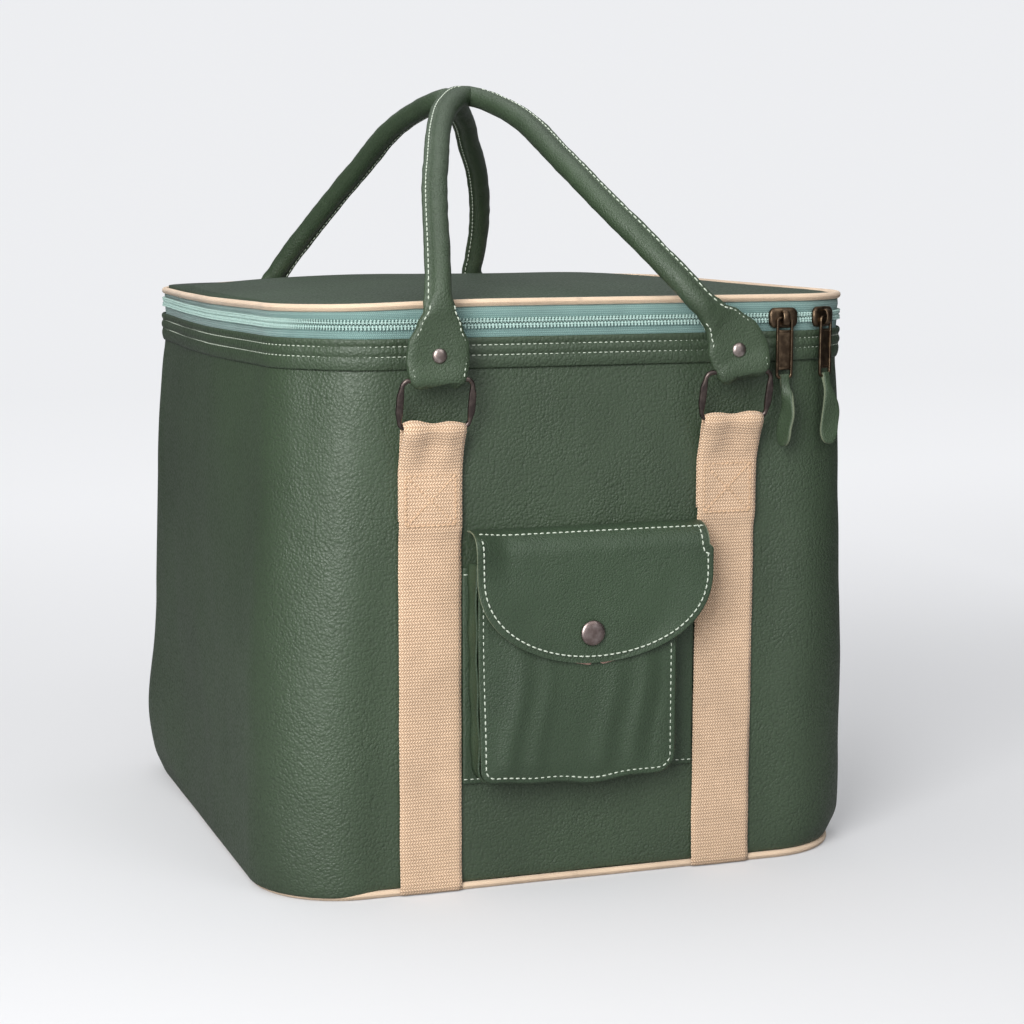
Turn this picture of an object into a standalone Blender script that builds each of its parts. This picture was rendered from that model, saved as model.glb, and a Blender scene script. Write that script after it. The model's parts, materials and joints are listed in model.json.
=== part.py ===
"""Insulated cooler bag: a soft green leather box with a domed zipped lid, two rolled handles on metal
rings, four webbing straps and a flap pocket.

Metres, +Z up, origin at the middle of the underside. The front of the bag faces -Y and +X is to the
right of it.
Layers of the walls are told apart by their offset: metres outward from the outer face of the body's leather.
"""

import math

import bmesh
import bpy
from mathutils import Matrix, Quaternion, Vector

# ---- body ----------------------------------------------------------------------------------------
WIDTH = 0.375  # outside of the leather, left to right
DEPTH = 0.370  # outside of the leather, front to rear
HEIGHT = 0.347  # floor to the middle of the lid's piping
CORNER_RADIUS = 0.055  # upright corners, in plan
GAP = 0.0003  # between pieces that lie on each other
LEATHER = 0.0020
FOAM = 0.0080  # insulation in the walls
LINER = 0.0015
PIPING_RADIUS = 0.0022
CORNER_STEPS = 6

# ---- base ----------------------------------------------------------------------------------------
BOARD = 0.0030
BASE_FOAM = 0.0074
BASE_PIPING_INSET = 0.0010

# ---- lid and zip ---------------------------------------------------------------------------------
DOME_RISE = 0.0075
LID_PIPING_INSET = 0.0003
LID_LINING = 0.0012
TAPE = 0.0010
TAPE_INSET = 0.0007  # outer face of the tape behind the body's outer face
TAPE_UPPER_HEIGHT = 0.0092
TEETH_HEIGHT = 0.0034  # one row
TEETH_PROUD = 0.0014
HEM_THICKNESS = 0.0015
HEM_BELOW_ZIP = 0.0076  # top edge of the hem band under the zip line
HEM_HEIGHT = 0.0156
TAPE_BELOW_ZIP = 0.0190  # lower edge of the lower tape under the zip line
LINER_BELOW_ZIP = 0.0032

# ---- zip sliders, pulls and tags -----------------------------------------------------------------
SLIDER_LENGTH = 0.0160
SLIDER_WALL = 0.0014
SLIDER_CLEARANCE = 0.0006
SLIDER_LEFT_X = 0.1285  # on the straight front of the zip
SLIDER_RIGHT_TURN = math.radians(26)  # round the front right corner
CROWN_HALF_HEIGHT = 0.0037
CROWN_RISE = 0.0037
CROWN_WIDTH = 0.0022
CROWN_WALL = 0.0012
PULL_THICKNESS = 0.0016
PULL_WIDTH = 0.0110
PULL_LENGTH = 0.0365  # hinge bar to the lower end
PULL_FRAME = 0.0015
PULL_EYE = 0.0068
TAG_SLOT = 0.0042
TAG_THICKNESS = 0.0024
TAG_LENGTH = 0.0410
TAG_CLEARANCE = 0.0004
TAG_SKIN = 0.0011

# ---- webbing straps and rings --------------------------------------------------------------------
STRAP_WIDTH = 0.038
STRAP_THICKNESS = 0.0016
STRAP_X = 0.093  # middle of each strap from the middle of the bag
FOLD_STEP = 0.006
BAR_OUT = 0.0100  # the ring's lower bar in front of the body's face
BAR_Z = HEIGHT - 0.0700
BOX_TOP_Z = BAR_Z - 0.0250  # above this the webbing is free of the body
FOLD_END_Z = BAR_Z - 0.0580  # where the folded end of the webbing stops
BAR_CLEARANCE = 0.0005
WIRE_RADIUS = 0.0015
RING_SIDE_CLEARANCE = 0.0005  # between the webbing and the wire on each side of it
RING_WIDTH = STRAP_WIDTH + 2 * (WIRE_RADIUS + RING_SIDE_CLEARANCE)  # middle of wire to middle of wire
RING_HEIGHT = 0.0290
RING_CORNER = 0.0030
RING_LEAN = math.radians(15)  # outward at rest

# ---- handles -------------------------------------------------------------------------------------
TUBE_RADIUS = 0.0066
CORE_RADIUS = 0.0036
CORE_FIT = 0.0010  # of the core in its cover, all round
HANDLE_RISE = 0.1650  # ring's upper bar to the middle of the tube at its highest
HANDLE_MEET = 0.0165  # each handle's highest point from the bag's middle plane
SEAM_MOUTH = 0.0040  # opening of the rolled cover at its neck
TAB_LENGTH = 0.0480  # ring's upper bar to the start of the tube
TAB_HALF_THICKNESS = 0.0022
TAB_LEATHER = 0.0020
RIVET_RISE = 0.0135
RIVET_CAP_RADIUS = 0.0045
RIVET_CAP = 0.0014
RIVET_SHANK = 0.0012
# Each leg of a handle, from its ring to the top:
# (towards the middle of the bag, share of the run, share of the rise)
FRONT_LEFT_LEG = [
    (0.0000, 0.000, 0.040), (0.0005, 0.000, 0.100), (0.0015, 0.000, 0.212), (0.0022, 0.011, 0.276),
    (0.0065, 0.088, 0.394), (0.0180, 0.313, 0.618), (0.0280, 0.466, 0.733), (0.0416, 0.665, 0.858),
    (0.0580, 0.850, 0.950),
]
FRONT_RIGHT_LEG = [
    (0.0002, 0.000, 0.040), (0.0025, 0.000, 0.090), (0.0110, 0.000, 0.165), (0.0262, 0.000, 0.245),
    (0.0365, 0.033, 0.322), (0.0530, 0.147, 0.463), (0.0675, 0.295, 0.603), (0.0790, 0.500, 0.755),
    (0.0880, 0.770, 0.912),
]
REAR_LEFT_LEG = [
    (0.0000, 0.000, 0.040), (0.0002, 0.000, 0.100), (0.0012, 0.000, 0.224), (0.0086, 0.045, 0.333),
    (0.0280, 0.216, 0.542), (0.0450, 0.460, 0.745), (0.0563, 0.715, 0.902),
]
REAR_RIGHT_LEG = [
    (0.0002, 0.000, 0.040), (0.0030, 0.000, 0.090), (0.0150, 0.000, 0.175), (0.0290, 0.000, 0.264),
    (0.0305, 0.053, 0.356), (0.0332, 0.145, 0.472), (0.0412, 0.283, 0.606), (0.0537, 0.445, 0.735),
    (0.0686, 0.600, 0.837), (0.0865, 0.800, 0.940),
]
FRONT_TOP_X = -0.012
REAR_TOP_X = -0.018

# ---- pockets on the front ------------------------------------------------------------------------
SLIP_TOP_Z = 0.195
SLIP_BOTTOM_Z = 0.0655
SLIP_THICKNESS = 0.0015
POCKET_LEFT_X = -0.069
POCKET_RIGHT_X = 0.055
POCKET_TOP_Z = 0.197
POCKET_BOTTOM_Z = 0.066
POCKET_CORNER = 0.008
POCKET_DEPTH = 0.014  # width of the gusset
GUSSET = 0.0014
POCKET_LEATHER = 0.0015
FLAP_LEFT_X = -0.071
FLAP_RIGHT_X = 0.077
FLAP_HINGE_Z = 0.216
FLAP_BOTTOM_Z = 0.137
FLAP_SHOULDER_Z = 0.190  # below this the flap's outline rounds in
FLAP_THICKNESS = 0.0016
FLAP_CLEARANCE = 0.0028  # between the pocket's front and the flap
SNAP_X = 0.0
SNAP_Z = 0.155
SNAP_CAP_RADIUS = 0.0075
SNAP_CAP = 0.0017
SOCKET_RADIUS = 0.0045
SOCKET_BORE = 0.0024
STUD_RADIUS = 0.0016
SNAP_SHANK = 0.0011

for old in list(bpy.data.objects):
    bpy.data.objects.remove(old, do_unlink=True)


# ---- materials -----------------------------------------------------------------------------------
def material(name, colour, roughness, metallic=0.0):
    made = bpy.data.materials.new(name)
    made.use_nodes = True
    shader = made.node_tree.nodes["Principled BSDF"]
    shader.inputs["Base Color"].default_value = (*colour, 1.0)
    shader.inputs["Roughness"].default_value = roughness
    shader.inputs["Metallic"].default_value = metallic
    made.diffuse_color = (*colour, 1.0)
    return made


GREEN = material("green_leather", (0.036, 0.075, 0.040), 0.5)
WEBBING = material("natural_webbing", (0.76, 0.52, 0.31), 0.85)
PIPING = material("beige_piping", (0.80, 0.58, 0.37), 0.6)
TEAL = material("teal_tape", (0.19, 0.38, 0.35), 0.8)
TEETH = material("teal_teeth", (0.12, 0.27, 0.25), 0.5)
LINING = material("lining", (0.55, 0.56, 0.57), 0.45)
INSULATION = material("insulation", (0.85, 0.85, 0.83), 0.9)
FIBREBOARD = material("fibreboard", (0.32, 0.24, 0.16), 0.9)
BRONZE = material("dark_bronze", (0.09, 0.075, 0.06), 0.4, 1.0)
BRASS = material("antique_brass", (0.16, 0.11, 0.06), 0.4, 1.0)
SILVER = material("antique_silver", (0.38, 0.33, 0.30), 0.4, 1.0)
CORD = material("core_cord", (0.62, 0.58, 0.50), 0.9)


# ---- making solids -------------------------------------------------------------------------------
def solid(name, vertices, faces, finish, smooth=False):
    """An object from points and faces, its faces turned to point out."""
    mesh = bpy.data.meshes.new(name)
    mesh.from_pydata([tuple(v) for v in vertices], [], faces)
    work = bmesh.new()
    work.from_mesh(mesh)
    bmesh.ops.recalc_face_normals(work, faces=work.faces)
    work.to_mesh(mesh)
    work.free()
    mesh.materials.append(finish)
    if smooth:
        mesh.shade_smooth()
        mesh.set_sharp_from_angle(angle=math.radians(40))
    made = bpy.data.objects.new(name, mesh)
    bpy.context.scene.collection.objects.link(made)
    return made


def loft(name, sections, finish, closed=False, smooth=False):
    """A skin over sections of the same number of points, with end caps unless it closes on itself."""
    count = len(sections[0])
    vertices = [point for section in sections for point in section]
    faces = []
    for i in range(len(sections) if closed else len(sections) - 1):
        here, there = i * count, (i + 1) % len(sections) * count
        for k in range(count):
            n = (k + 1) % count
            faces.append((here + k, here + n, there + n, there + k))
    if not closed:
        faces.append(tuple(range(count)))
        faces.append(tuple(range(len(vertices) - count, len(vertices))))
    return solid(name, vertices, faces, finish, smooth)


def boolean(target, tool, operation):
    change = target.modifiers.new(tool.name, "BOOLEAN")
    change.operation = operation
    change.solver = "EXACT"
    change.object = tool
    tool.hide_render = True
    tool.display_type = "WIRE"


def turned(name, profile, place, axis, finish, steps=20):
    """A profile of (radius, height) pairs turned round axis, from the bottom up; radius 0 at both ends."""
    turn = Vector((0, 0, 1)).rotation_difference(Vector(axis))
    rings = [(r, h) for r, h in profile if r > 0]
    vertices = []
    for radius, height in rings:
        for k in range(steps):
            angle = math.tau * k / steps
            vertices.append((radius * math.cos(angle), radius * math.sin(angle), height))
    faces = [tuple(range(steps)), tuple(range(len(vertices) - steps, len(vertices)))]
    for i in range(len(rings) - 1):
        for k in range(steps):
            n = (k + 1) % steps
            faces.append((i * steps + k, i * steps + n, (i + 1) * steps + n, (i + 1) * steps + k))
    vertices = [Vector(place) + turn @ Vector(v) for v in vertices]
    return solid(name, vertices, faces, finish, True)


def washer(name, outer, inner, low, high, place, axis, finish, steps=20):
    turn = Vector((0, 0, 1)).rotation_difference(Vector(axis))
    sections = []
    for k in range(steps):
        angle = math.tau * k / steps
        corners = [(outer, low), (outer, high), (inner, high), (inner, low)]
        sections.append([
            Vector(place) + turn @ Vector((r * math.cos(angle), r * math.sin(angle), h)) for r, h in corners
        ])
    return loft(name, sections, finish, closed=True, smooth=True)


# ---- the plan of the bag -------------------------------------------------------------------------
def corner(sx, sy, start, steps=CORNER_STEPS):
    """Stations round one upright corner: its centre and the direction that each faces."""
    cx, cy = sx * (WIDTH / 2 - CORNER_RADIUS), sy * (DEPTH / 2 - CORNER_RADIUS)
    angles = [math.radians(start + 90 * i / steps) for i in range(steps + 1)]
    return [(cx, cy, math.cos(a), math.sin(a)) for a in angles]


REAR_LEFT, FRONT_LEFT = corner(-1, 1, 90), corner(-1, -1, 180)
FRONT_RIGHT, REAR_RIGHT = corner(1, -1, 270), corner(1, 1, 0)
ALL_ROUND = REAR_LEFT + FRONT_LEFT + FRONT_RIGHT + REAR_RIGHT
STRAIGHT_HALF_WIDTH = WIDTH / 2 - CORNER_RADIUS


def at(station, offset, z):
    cx, cy, nx, ny = station
    return Vector((cx + (CORNER_RADIUS + offset) * nx, cy + (CORNER_RADIUS + offset) * ny, z))


def wall(name, profile, finish, stations=ALL_ROUND, closed=True, smooth=False):
    """A profile of (offset, z) pairs carried round the plan of the bag."""
    sections = [[at(station, offset, z) for offset, z in profile] for station in stations]
    return loft(name, sections, finish, closed, smooth)


def band(name, inner, outer, low, high, finish, stations=ALL_ROUND, closed=True):
    profile = [(inner, low), (outer, low), (outer, high), (inner, high)]
    return wall(name, profile, finish, stations, closed)


def plate(name, offset, low, high, finish):
    outline = [[at(station, offset, z) for station in ALL_ROUND] for z in (low, high)]
    return loft(name, outline, finish)


def domed(name, offset, low, edge_top, finish, hollow=False):
    """A plate whose top rises to the middle; with hollow its underside rises too."""
    shares = (1.0, 0.9, 0.75, 0.55, 0.3)
    top, bottom = [], []
    for share in shares:
        rise = DOME_RISE * (1 - share**2)
        top.append([Vector((p.x * share, p.y * share, edge_top + rise)) for p in
                    (at(station, offset, 0) for station in ALL_ROUND)])
        bottom.append([Vector((p.x, p.y, low + (rise if hollow else 0))) for p in top[-1]])
    sections = list(reversed(bottom)) + top if hollow else [bottom[0]] + top
    return loft(name, sections, finish)


def round_profile(offset, z, radius, steps=8):
    angles = [math.tau * k / steps for k in range(steps)]
    return [(offset + radius * math.cos(a), z + radius * math.sin(a)) for a in angles]


# ---- base and walls ------------------------------------------------------------------------------
base_piping_z = PIPING_RADIUS + GAP / 3
base_inset = -(BASE_PIPING_INSET + PIPING_RADIUS + GAP)
board_z = LEATHER + GAP
base_foam_z = board_z + BOARD + GAP
liner_z = base_foam_z + BASE_FOAM + GAP
shell_z = base_piping_z + PIPING_RADIUS + GAP
foam_offset = -(LEATHER + GAP)
liner_offset = foam_offset - FOAM - GAP

seam_z = HEIGHT - PIPING_RADIUS - GAP  # where the lid's piping meets the zip tape
zip_z = seam_z - TAPE_UPPER_HEIGHT - GAP / 2  # between the two rows of teeth
hem_top = zip_z - HEM_BELOW_ZIP
hem_bottom = hem_top - HEM_HEIGHT
tape_low = zip_z - TAPE_BELOW_ZIP
wall_top = zip_z - LINER_BELOW_ZIP
tape_inner = -(TAPE_INSET + TAPE)

plate("bottom_panel", base_inset, 0.0, LEATHER, GREEN)
plate("base_board", base_inset, board_z, board_z + BOARD, FIBREBOARD)
plate("base_foam", foam_offset, base_foam_z, base_foam_z + BASE_FOAM, INSULATION)
wall("bottom_piping", round_profile(-BASE_PIPING_INSET, base_piping_z, PIPING_RADIUS), PIPING, smooth=True)
band("outer_shell", -LEATHER, 0.0, shell_z, tape_low - GAP, GREEN)
band("wall_foam", foam_offset - FOAM, foam_offset, liner_z, wall_top - GAP, INSULATION)
band("hem_band", GAP, GAP + HEM_THICKNESS, hem_bottom, hem_top, GREEN)


def liner_tub():
    """The inner lining: thin walls and a floor in one sheet."""
    inside = liner_offset - LINER
    outline = [
        (liner_offset, liner_z), (liner_offset, wall_top), (inside, wall_top), (inside, liner_z + LINER)
    ]
    return loft("liner_tub", [[at(s, offset, z) for s in ALL_ROUND] for offset, z in outline], LINING)


liner_tub()

# ---- zip -----------------------------------------------------------------------------------------
# The zip runs round the left, the front and the right; a plain strip hinges the lid along the rear.
lower_zip_top, upper_zip_low = zip_z - GAP / 2, zip_z + GAP / 2
band("zip_tape_lower", tape_inner, -TAPE_INSET, tape_low, lower_zip_top, TEAL, closed=False)
band("zip_tape_upper", tape_inner, -TAPE_INSET, upper_zip_low, seam_z, TEAL, closed=False)
teeth_inner = -(TAPE_INSET - GAP)
teeth_low, teeth_high = lower_zip_top - TEETH_HEIGHT, upper_zip_low + TEETH_HEIGHT
band("zip_teeth_lower", teeth_inner, TEETH_PROUD, teeth_low, lower_zip_top, TEETH, closed=False)
band("zip_teeth_upper", teeth_inner, TEETH_PROUD, upper_zip_low, teeth_high, TEETH, closed=False)

rear_y = DEPTH / 2 - CORNER_RADIUS
rear_strip = [(sign * (STRAIGHT_HALF_WIDTH - GAP), rear_y, 0.0, 1.0) for sign in (1, -1)]
band("hinge_strip", -(TAPE_INSET + TAPE), -TAPE_INSET, tape_low, seam_z, GREEN, rear_strip, closed=False)

# ---- lid -----------------------------------------------------------------------------------------
lining_low = zip_z + GAP / 2 + GAP
lid_foam_low = lining_low + LID_LINING + GAP
lid_inset = -(LID_PIPING_INSET + PIPING_RADIUS + GAP)
panel_low = HEIGHT - LEATHER / 2
wall("lid_piping", round_profile(-LID_PIPING_INSET, HEIGHT, PIPING_RADIUS), PIPING, smooth=True)
domed("lid_panel", lid_inset, panel_low, panel_low + LEATHER, GREEN, hollow=True)
domed("lid_foam", lid_inset, lid_foam_low, panel_low - GAP, INSULATION)
plate("lid_lining", foam_offset, lining_low, lining_low + LID_LINING, LINING)


# ---- zip sliders, pulls and leather tags ---------------------------------------------------------
def slider_frame(centre_x, turn):
    """Local axes on the zip: X along it, Y into the bag, Z up, origin on the body at the zip line."""
    spin = Matrix.Rotation(turn, 4, "Z")
    cy = -(DEPTH / 2 - CORNER_RADIUS)
    return Matrix.Translation((centre_x, cy, zip_z)) @ spin @ Matrix.Translation((0, -CORNER_RADIUS, 0))


def placed(made, frame):
    made.data.transform(frame)
    return made


def extruded(name, outline, low, high, finish):
    """An outline of (x, z) pairs given a thickness from y = low to y = high."""
    return loft(name, [[Vector((x, y, z)) for x, z in outline] for y in (low, high)], finish)


crown_top = TEETH_PROUD + SLIDER_CLEARANCE + SLIDER_WALL + CROWN_RISE
bar_out = crown_top - CROWN_WALL - (CROWN_RISE - CROWN_WALL) / 2  # hinge bar, out from the body


def slider(name, frame, stations):
    """A channel that rides over both rows of teeth, with an arched crown in front for the pull."""
    front = TEETH_PROUD + SLIDER_CLEARANCE
    lips = TEETH_HEIGHT + GAP / 2 + SLIDER_CLEARANCE
    rim = lips + SLIDER_WALL
    back = -TAPE_INSET + SLIDER_CLEARANCE
    profile = [
        (back, -rim), (front + SLIDER_WALL, -rim), (front + SLIDER_WALL, rim), (back, rim),
        (back, lips), (front, lips), (front, -lips), (back, -lips),
    ]
    made = wall(name, [(offset, zip_z + z) for offset, z in profile], BRASS, stations, closed=False)
    root = front + SLIDER_WALL / 2
    inner = CROWN_HALF_HEIGHT - CROWN_WALL
    arch = [
        (root, -CROWN_HALF_HEIGHT), (crown_top - CROWN_WALL, -CROWN_HALF_HEIGHT), (crown_top, -inner),
        (crown_top, inner), (crown_top - CROWN_WALL, CROWN_HALF_HEIGHT), (root, CROWN_HALF_HEIGHT),
        (root, inner), (crown_top - CROWN_WALL, inner), (crown_top - CROWN_WALL, -inner), (root, -inner),
    ]
    sections = [[Vector((x, -out, z)) for out, z in arch] for x in (-CROWN_WIDTH / 2, CROWN_WIDTH / 2)]
    crown = placed(loft(name + "_crown", sections, BRASS), frame)
    boolean(made, crown, "UNION")
    return made


def pull(name, frame):
    """A flat metal pull: an eye round the slider's crown, a solid body and a slot for the leather tag."""
    half, narrow = PULL_WIDTH / 2, PULL_WIDTH / 2 - PULL_FRAME
    bar = PULL_THICKNESS / 2
    outline = [
        (-half + 0.001, bar), (half - 0.001, bar), (half, bar - 0.001), (half, 0.001 - PULL_LENGTH),
        (half - 0.001, -PULL_LENGTH), (0.001 - half, -PULL_LENGTH),
        (-half, 0.001 - PULL_LENGTH), (-half, bar - 0.001),
    ]
    made = extruded(name, outline, -bar, bar, BRASS)
    slot_low = -PULL_LENGTH + PULL_THICKNESS
    for low, high, label in ((-PULL_EYE - bar, -bar, "_eye"), (slot_low, slot_low + TAG_SLOT, "_slot")):
        window = [(-narrow, low), (narrow, low), (narrow, high), (-narrow, high)]
        tool = placed(extruded(name + label, window, -2 * bar, 2 * bar, BRASS), frame)
        boolean(made, tool, "DIFFERENCE")
    return placed(made, frame)


def smooth_step(t):
    t = min(max(t, 0.0), 1.0)
    return t * t * (3 - 2 * t)


def between(stations, s):
    """Values at s from a short list of (s, value, ...) rows, eased from one row to the next."""
    if s <= stations[0][0]:
        return stations[0][1:]
    for low, high in zip(stations, stations[1:]):
        if s <= high[0]:
            t = smooth_step((s - low[0]) / (high[0] - low[0]))
            return tuple(a + (b - a) * t for a, b in zip(low[1:], high[1:]))
    return stations[-1][1:]


def rounded_section(half_width, half_thickness, boxy, steps=12):
    """Points of a section between an ellipse (boxy 1) and a rectangle (boxy near 0)."""
    points = []
    for k in range(steps):
        angle = math.tau * (k + 0.5) / steps
        c, s = math.cos(angle), math.sin(angle)
        points.append((
            math.copysign(abs(c) ** boxy, c) * half_width,
            math.copysign(abs(s) ** boxy, s) * half_thickness,
        ))
    return points


tag_bore = PULL_THICKNESS / math.sqrt(2) + TAG_CLEARANCE
tag_loop = tag_bore + TAG_SKIN


def tag(name, frame):
    """A leather tag folded round the pull's lower bar and widening to a paddle."""
    neck = PULL_WIDTH / 2 - PULL_FRAME - TAG_CLEARANCE
    shape = [
        (-tag_loop, neck * 0.9, tag_loop * 0.3, 0.5), (-tag_loop * 0.6, neck, tag_loop * 0.85, 0.5),
        (0.0, neck, tag_loop, 0.5), (0.004, neck, tag_loop * 0.8, 0.5),
        (0.009, neck * 1.1, TAG_THICKNESS / 2, 0.5), (0.020, 0.0052, TAG_THICKNESS / 2, 0.5),
        (0.031, 0.0062, TAG_THICKNESS / 2, 0.5), (0.038, 0.0050, TAG_THICKNESS / 2, 0.6),
        (TAG_LENGTH, 0.0018, TAG_THICKNESS / 2, 0.8),
    ]
    sections = []
    for s, half_width, half_thickness, boxy in shape:
        sections.append([Vector((x, y, -s)) for x, y in rounded_section(half_width, half_thickness, boxy, 8)])
    made = loft(name, sections, GREEN)
    turns = [math.tau * k / 10 for k in range(10)]
    sides = [(tag_bore * math.cos(turn), tag_bore * math.sin(turn)) for turn in turns]
    bore = loft(name + "_bore", [[Vector((x, y, z)) for y, z in sides] for x in (-0.01, 0.01)], GREEN)
    placed(bore, frame)
    boolean(made, bore, "DIFFERENCE")
    return placed(made, frame)


def hung(name, place, children, parent=None):
    """An empty on a joint's axis that carries the pieces which move on it."""
    pivot = bpy.data.objects.new(name, None)
    bpy.context.scene.collection.objects.link(pivot)
    pivot.location = place
    pivot.empty_display_size = 0.02
    bpy.context.view_layer.update()
    if parent:
        pivot.parent = parent
        pivot.matrix_parent_inverse = parent.matrix_world.inverted()
    for child in children:
        child.parent = pivot
        child.matrix_parent_inverse = pivot.matrix_world.inverted()
    return pivot


def zip_puller(side, centre_x, turn):
    """A slider with its pull and tag; turn is how far round the front right corner it stands."""
    frame = slider_frame(centre_x, turn)
    half_turn = SLIDER_LENGTH / 2 / CORNER_RADIUS
    if turn:
        angles = [turn - math.pi / 2 + half_turn * share for share in (-1, -0.5, 0, 0.5, 1)]
        stations = [(centre_x, -rear_y, math.cos(a), math.sin(a)) for a in angles]
    else:
        stations = [(centre_x + share * SLIDER_LENGTH / 2, -rear_y, 0.0, -1.0) for share in (-1, 1)]
    body = slider("zip_slider_" + side, frame, stations)
    pull_frame = frame @ Matrix.Translation((0, -bar_out, 0))
    handle = pull("zip_pull_" + side, pull_frame)
    tag_frame = pull_frame @ Matrix.Translation((0, 0, PULL_THICKNESS / 2 - PULL_LENGTH))
    paddle = tag("pull_tag_" + side, tag_frame)
    on_zip = hung("zip_slider_" + side + "_pivot", (centre_x, -rear_y, zip_z), [body])
    on_slider = hung("zip_pull_" + side + "_pivot", pull_frame.translation, [handle], on_zip)
    hung("pull_tag_" + side + "_pivot", tag_frame.translation, [paddle], on_slider)


zip_puller("left", SLIDER_LEFT_X, 0.0)
zip_puller("right", STRAIGHT_HALF_WIDTH, SLIDER_RIGHT_TURN)


# ---- webbing straps and rings --------------------------------------------------------------------
def ribbon(name, path, thickness, x_low, x_high, side, finish):
    """A strip of even thickness along (y, z) pairs, from x_low to x_high; side is -1 at the front."""
    left, right = [], []
    for i, point in enumerate(path):
        before = (point - path[i - 1]).normalized() if i else (path[1] - point).normalized()
        after = (path[i + 1] - point).normalized() if i + 1 < len(path) else before
        across = Vector((-(before + after).y, (before + after).x)).normalized()
        reach = thickness / 2 / max(across.dot(Vector((-before.y, before.x))), 0.5)
        left.append(point + across * reach)
        right.append(point - across * reach)
    outline = left + right[::-1]
    sections = [[Vector((x, side * p.x, p.y)) for p in outline] for x in (x_low, x_high)]
    return loft(name, sections, finish)


strap_out = DEPTH / 2 + GAP + STRAP_THICKNESS / 2
strap_over = strap_out + STRAP_THICKNESS + GAP
ring_bar_out = DEPTH / 2 + BAR_OUT
wrap = WIRE_RADIUS + BAR_CLEARANCE + STRAP_THICKNESS / 2


def strap(name, x, side):
    """Webbing from the base seam up the wall, over the ring's lower bar and back down behind itself."""
    turn = [math.pi * k / 6 for k in range(7)]
    path = [Vector((strap_out, shell_z)), Vector((strap_out, FOLD_END_Z - FOLD_STEP))]
    path += [Vector((strap_over, FOLD_END_Z)), Vector((strap_over, BOX_TOP_Z))]
    path += [Vector((ring_bar_out + wrap * math.cos(a), BAR_Z + wrap * math.sin(a))) for a in turn]
    path += [Vector((strap_out, BOX_TOP_Z)), Vector((strap_out, FOLD_END_Z + STRAP_THICKNESS))]
    return ribbon(name, path, STRAP_THICKNESS, x - STRAP_WIDTH / 2, x + STRAP_WIDTH / 2, side, WEBBING)


upper_bar_out = ring_bar_out + RING_HEIGHT * math.sin(RING_LEAN)
upper_bar_z = BAR_Z + RING_HEIGHT * math.cos(RING_LEAN)


def ring(name, x, side):
    """A rounded rectangle of round wire, standing on its lower bar and leaning out from the bag."""
    corners = []
    half = RING_WIDTH / 2 - RING_CORNER
    for cx, cz, start in ((half, RING_HEIGHT - RING_CORNER, 0), (-half, RING_HEIGHT - RING_CORNER, 90),
                          (-half, RING_CORNER, 180), (half, RING_CORNER, 270)):
        corners += [(cx, cz, math.radians(start + 30 * k)) for k in range(4)]
    lean = Vector((0, side * math.sin(RING_LEAN), math.cos(RING_LEAN)))
    out = lean.cross(Vector((1, 0, 0)))
    sections = []
    for cx, cz, angle in corners:
        spoke = Vector((1, 0, 0)) * math.cos(angle) + lean * math.sin(angle)
        middle = Vector((x + cx, side * ring_bar_out, BAR_Z)) + lean * cz + spoke * RING_CORNER
        sections.append([
            middle + WIRE_RADIUS * (spoke * math.cos(math.tau * k / 8) + out * math.sin(math.tau * k / 8))
            for k in range(8)
        ])
    return loft(name, sections, BRONZE, closed=True, smooth=True)


# ---- handles -------------------------------------------------------------------------------------
def catmull_rom(points):
    """A fine polyline on a smooth curve through the given points, and its length."""
    ends = [2 * points[0] - points[1]] + points + [2 * points[-1] - points[-2]]
    fine = []
    for a, b, c, d in zip(ends, ends[1:], ends[2:], ends[3:]):
        for k in range(16):
            t = k / 16
            fine.append(0.5 * (2 * b + (c - a) * t + (2 * a - 5 * b + 4 * c - d) * t**2
                               + (3 * b - a - 3 * c + d) * t**3))
    fine.append(points[-1].copy())
    length = sum((b - a).length for a, b in zip(fine, fine[1:]))
    return fine, length


def walk(fine, distances):
    """Points and directions on a polyline at the given distances from its start."""
    found, run, i = [], 0.0, 0
    for distance in distances:
        while i < len(fine) - 2 and run + (fine[i + 1] - fine[i]).length < distance:
            run += (fine[i + 1] - fine[i]).length
            i += 1
        step = fine[i + 1] - fine[i]
        found.append((fine[i] + step.normalized() * (distance - run), step.normalized()))
    return found


def carried_frames(stations, first_side, last_side):
    """Side vectors carried along the route without twist, with what twist is left spread evenly."""
    sides = [(first_side - stations[0][1] * first_side.dot(stations[0][1])).normalized()]
    for (_, before), (_, after) in zip(stations, stations[1:]):
        sides.append(before.rotation_difference(after) @ sides[-1])
    end = stations[-1][1]
    target = (last_side - end * last_side.dot(end)).normalized()
    twist = math.atan2(end.dot(sides[-1].cross(target)), sides[-1].dot(target))
    last = len(sides) - 1
    return [Quaternion(t, twist * i / last) @ side for i, ((_, t), side) in enumerate(zip(stations, sides))]


def handle_route(left_leg, right_leg, top_x, side):
    """The middle line of a handle, from the left ring's bar to the right ring's bar."""
    run = upper_bar_out - HANDLE_MEET

    def leg(points, sign):
        return [
            Vector((
                sign * (STRAP_X - inward),
                side * (upper_bar_out - share * run),
                upper_bar_z + rise * HANDLE_RISE,
            ))
            for inward, share, rise in points
        ]

    loop = tab_loop_radius
    bottoms = [Vector((sign * STRAP_X, side * upper_bar_out, upper_bar_z - loop)) for sign in (-1, 1)]
    bars = [Vector((sign * STRAP_X, side * upper_bar_out, upper_bar_z)) for sign in (-1, 1)]
    top = Vector((top_x, side * HANDLE_MEET, upper_bar_z + HANDLE_RISE))
    left, right = leg(left_leg, -1), leg(right_leg, 1)
    return bottoms[:1] + bars[:1] + left + [top] + right[::-1] + bars[1:] + bottoms[1:]


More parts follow.
